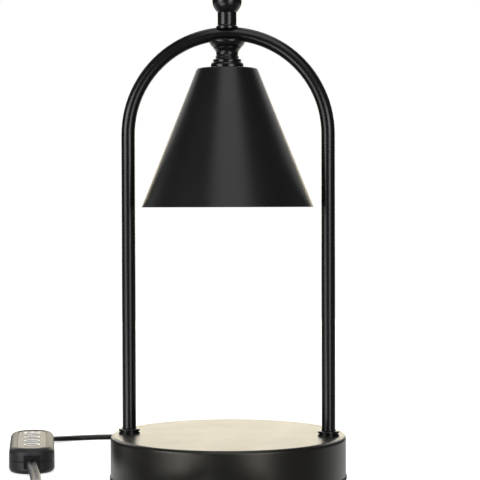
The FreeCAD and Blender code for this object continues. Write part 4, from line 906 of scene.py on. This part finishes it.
def makeWorld():
    # white where the camera looks; glossy faces see a dark room with a white wall behind the lamp
    world = bpy.data.worlds.new("studio")
    bpy.context.scene.world = world
    world.use_nodes = True
    tree = world.node_tree
    tree.nodes.clear()
    ray = addNode(tree, "ShaderNodeLightPath").outputs
    way = addNode(tree, "ShaderNodeTexCoord").outputs["Generated"]
    height = addNode(tree, "ShaderNodeSeparateXYZ", {0: way}).outputs["Z"]
    azimuth = math.radians(camera["azimuth"])
    behind = (-math.sin(azimuth), math.cos(azimuth), 0)
    facing = addNode(tree, "ShaderNodeVectorMath", {0: way, 1: behind}, operation="DOT_PRODUCT")
    turn = facing.outputs["Value"]
    reach = calc(tree, "ADD", turn, remap(tree, height, room["widening"]))
    wall = remap(tree, reach, room["wall"], smooth=True)
    rise = remap(tree, height, room["rise"], smooth=True)
    fall = remap(tree, height, room["fall"], smooth=True)
    wallHere = calc(tree, "MULTIPLY", wall, calc(tree, "MULTIPLY", rise, fall))
    table = remap(tree, turn, room["table"], smooth=True)
    below = remap(tree, height, room["horizon"], smooth=True)
    level = mixNumbers(tree, below, wallHere, table)
    around, even, white = [
        addNode(tree, "ShaderNodeBackground", {"Color": (1, 1, 1, 1), "Strength": strength}).outputs[0]
        for strength in (level, room["ambient"], 1.0)]
    gloss = calc(tree, "MAXIMUM", ray["Is Glossy Ray"], ray["Is Transmission Ray"])
    unseen = mixShaders(tree, gloss, even, around)
    both = mixShaders(tree, ray["Is Camera Ray"], unseen, white)
    addNode(tree, "ShaderNodeOutputWorld", {"Surface": both})


floorShape = {
    "half": 4,  # metres
    "level": -0.05,  # mm, just under the pad
    "pale": 0.75,
    "glow": 0.62,
}


def makeFloor():
    # seen from underneath it is clear, so that the pad and the cover show
    half, level = floorShape["half"], floorShape["level"] * mm
    corners = [(-half, -half, level), (half, -half, level), (half, half, level), (-half, half, level)]
    floor = meshPiece("floor", corners, [(0, 1, 2, 3)], smooth=False)
    floor.visible_glossy = False
    floor.visible_shadow = False
    made, tree = newMaterial("paleFloor")
    tree.nodes.clear()
    pale = floorShape["pale"]
    matt = addNode(tree, "ShaderNodeBsdfDiffuse", {"Color": (pale, pale, pale, 1)}).outputs[0]
    glow = addNode(tree, "ShaderNodeEmission", {"Color": (1, 1, 1, 1), "Strength": floorShape["glow"]})
    lit = addNode(tree, "ShaderNodeAddShader", {0: matt, 1: glow.outputs[0]}).outputs[0]
    seen = addNode(tree, "ShaderNodeLightPath").outputs["Is Camera Ray"]
    both = mixShaders(tree, seen, matt, lit)
    under = addNode(tree, "ShaderNodeNewGeometry").outputs["Backfacing"]
    clear = addNode(tree, "ShaderNodeBsdfTransparent").outputs[0]
    addNode(tree, "ShaderNodeOutputMaterial", {"Surface": mixShaders(tree, under, both, clear)})
    floor.data.materials.append(made)


for panelName in ("leftLow", "leftStrip", "leftTop", "rightStrip", "rightTop", "backPanel"):
    uprightPanel(panelName)
for panelName in ("frontPanel", "overhead"):
    tiltedPanel(panelName)
makeWorld()
makeFloor()
bpy.context.scene.view_settings.view_transform = "Standard"
print("studio lit")
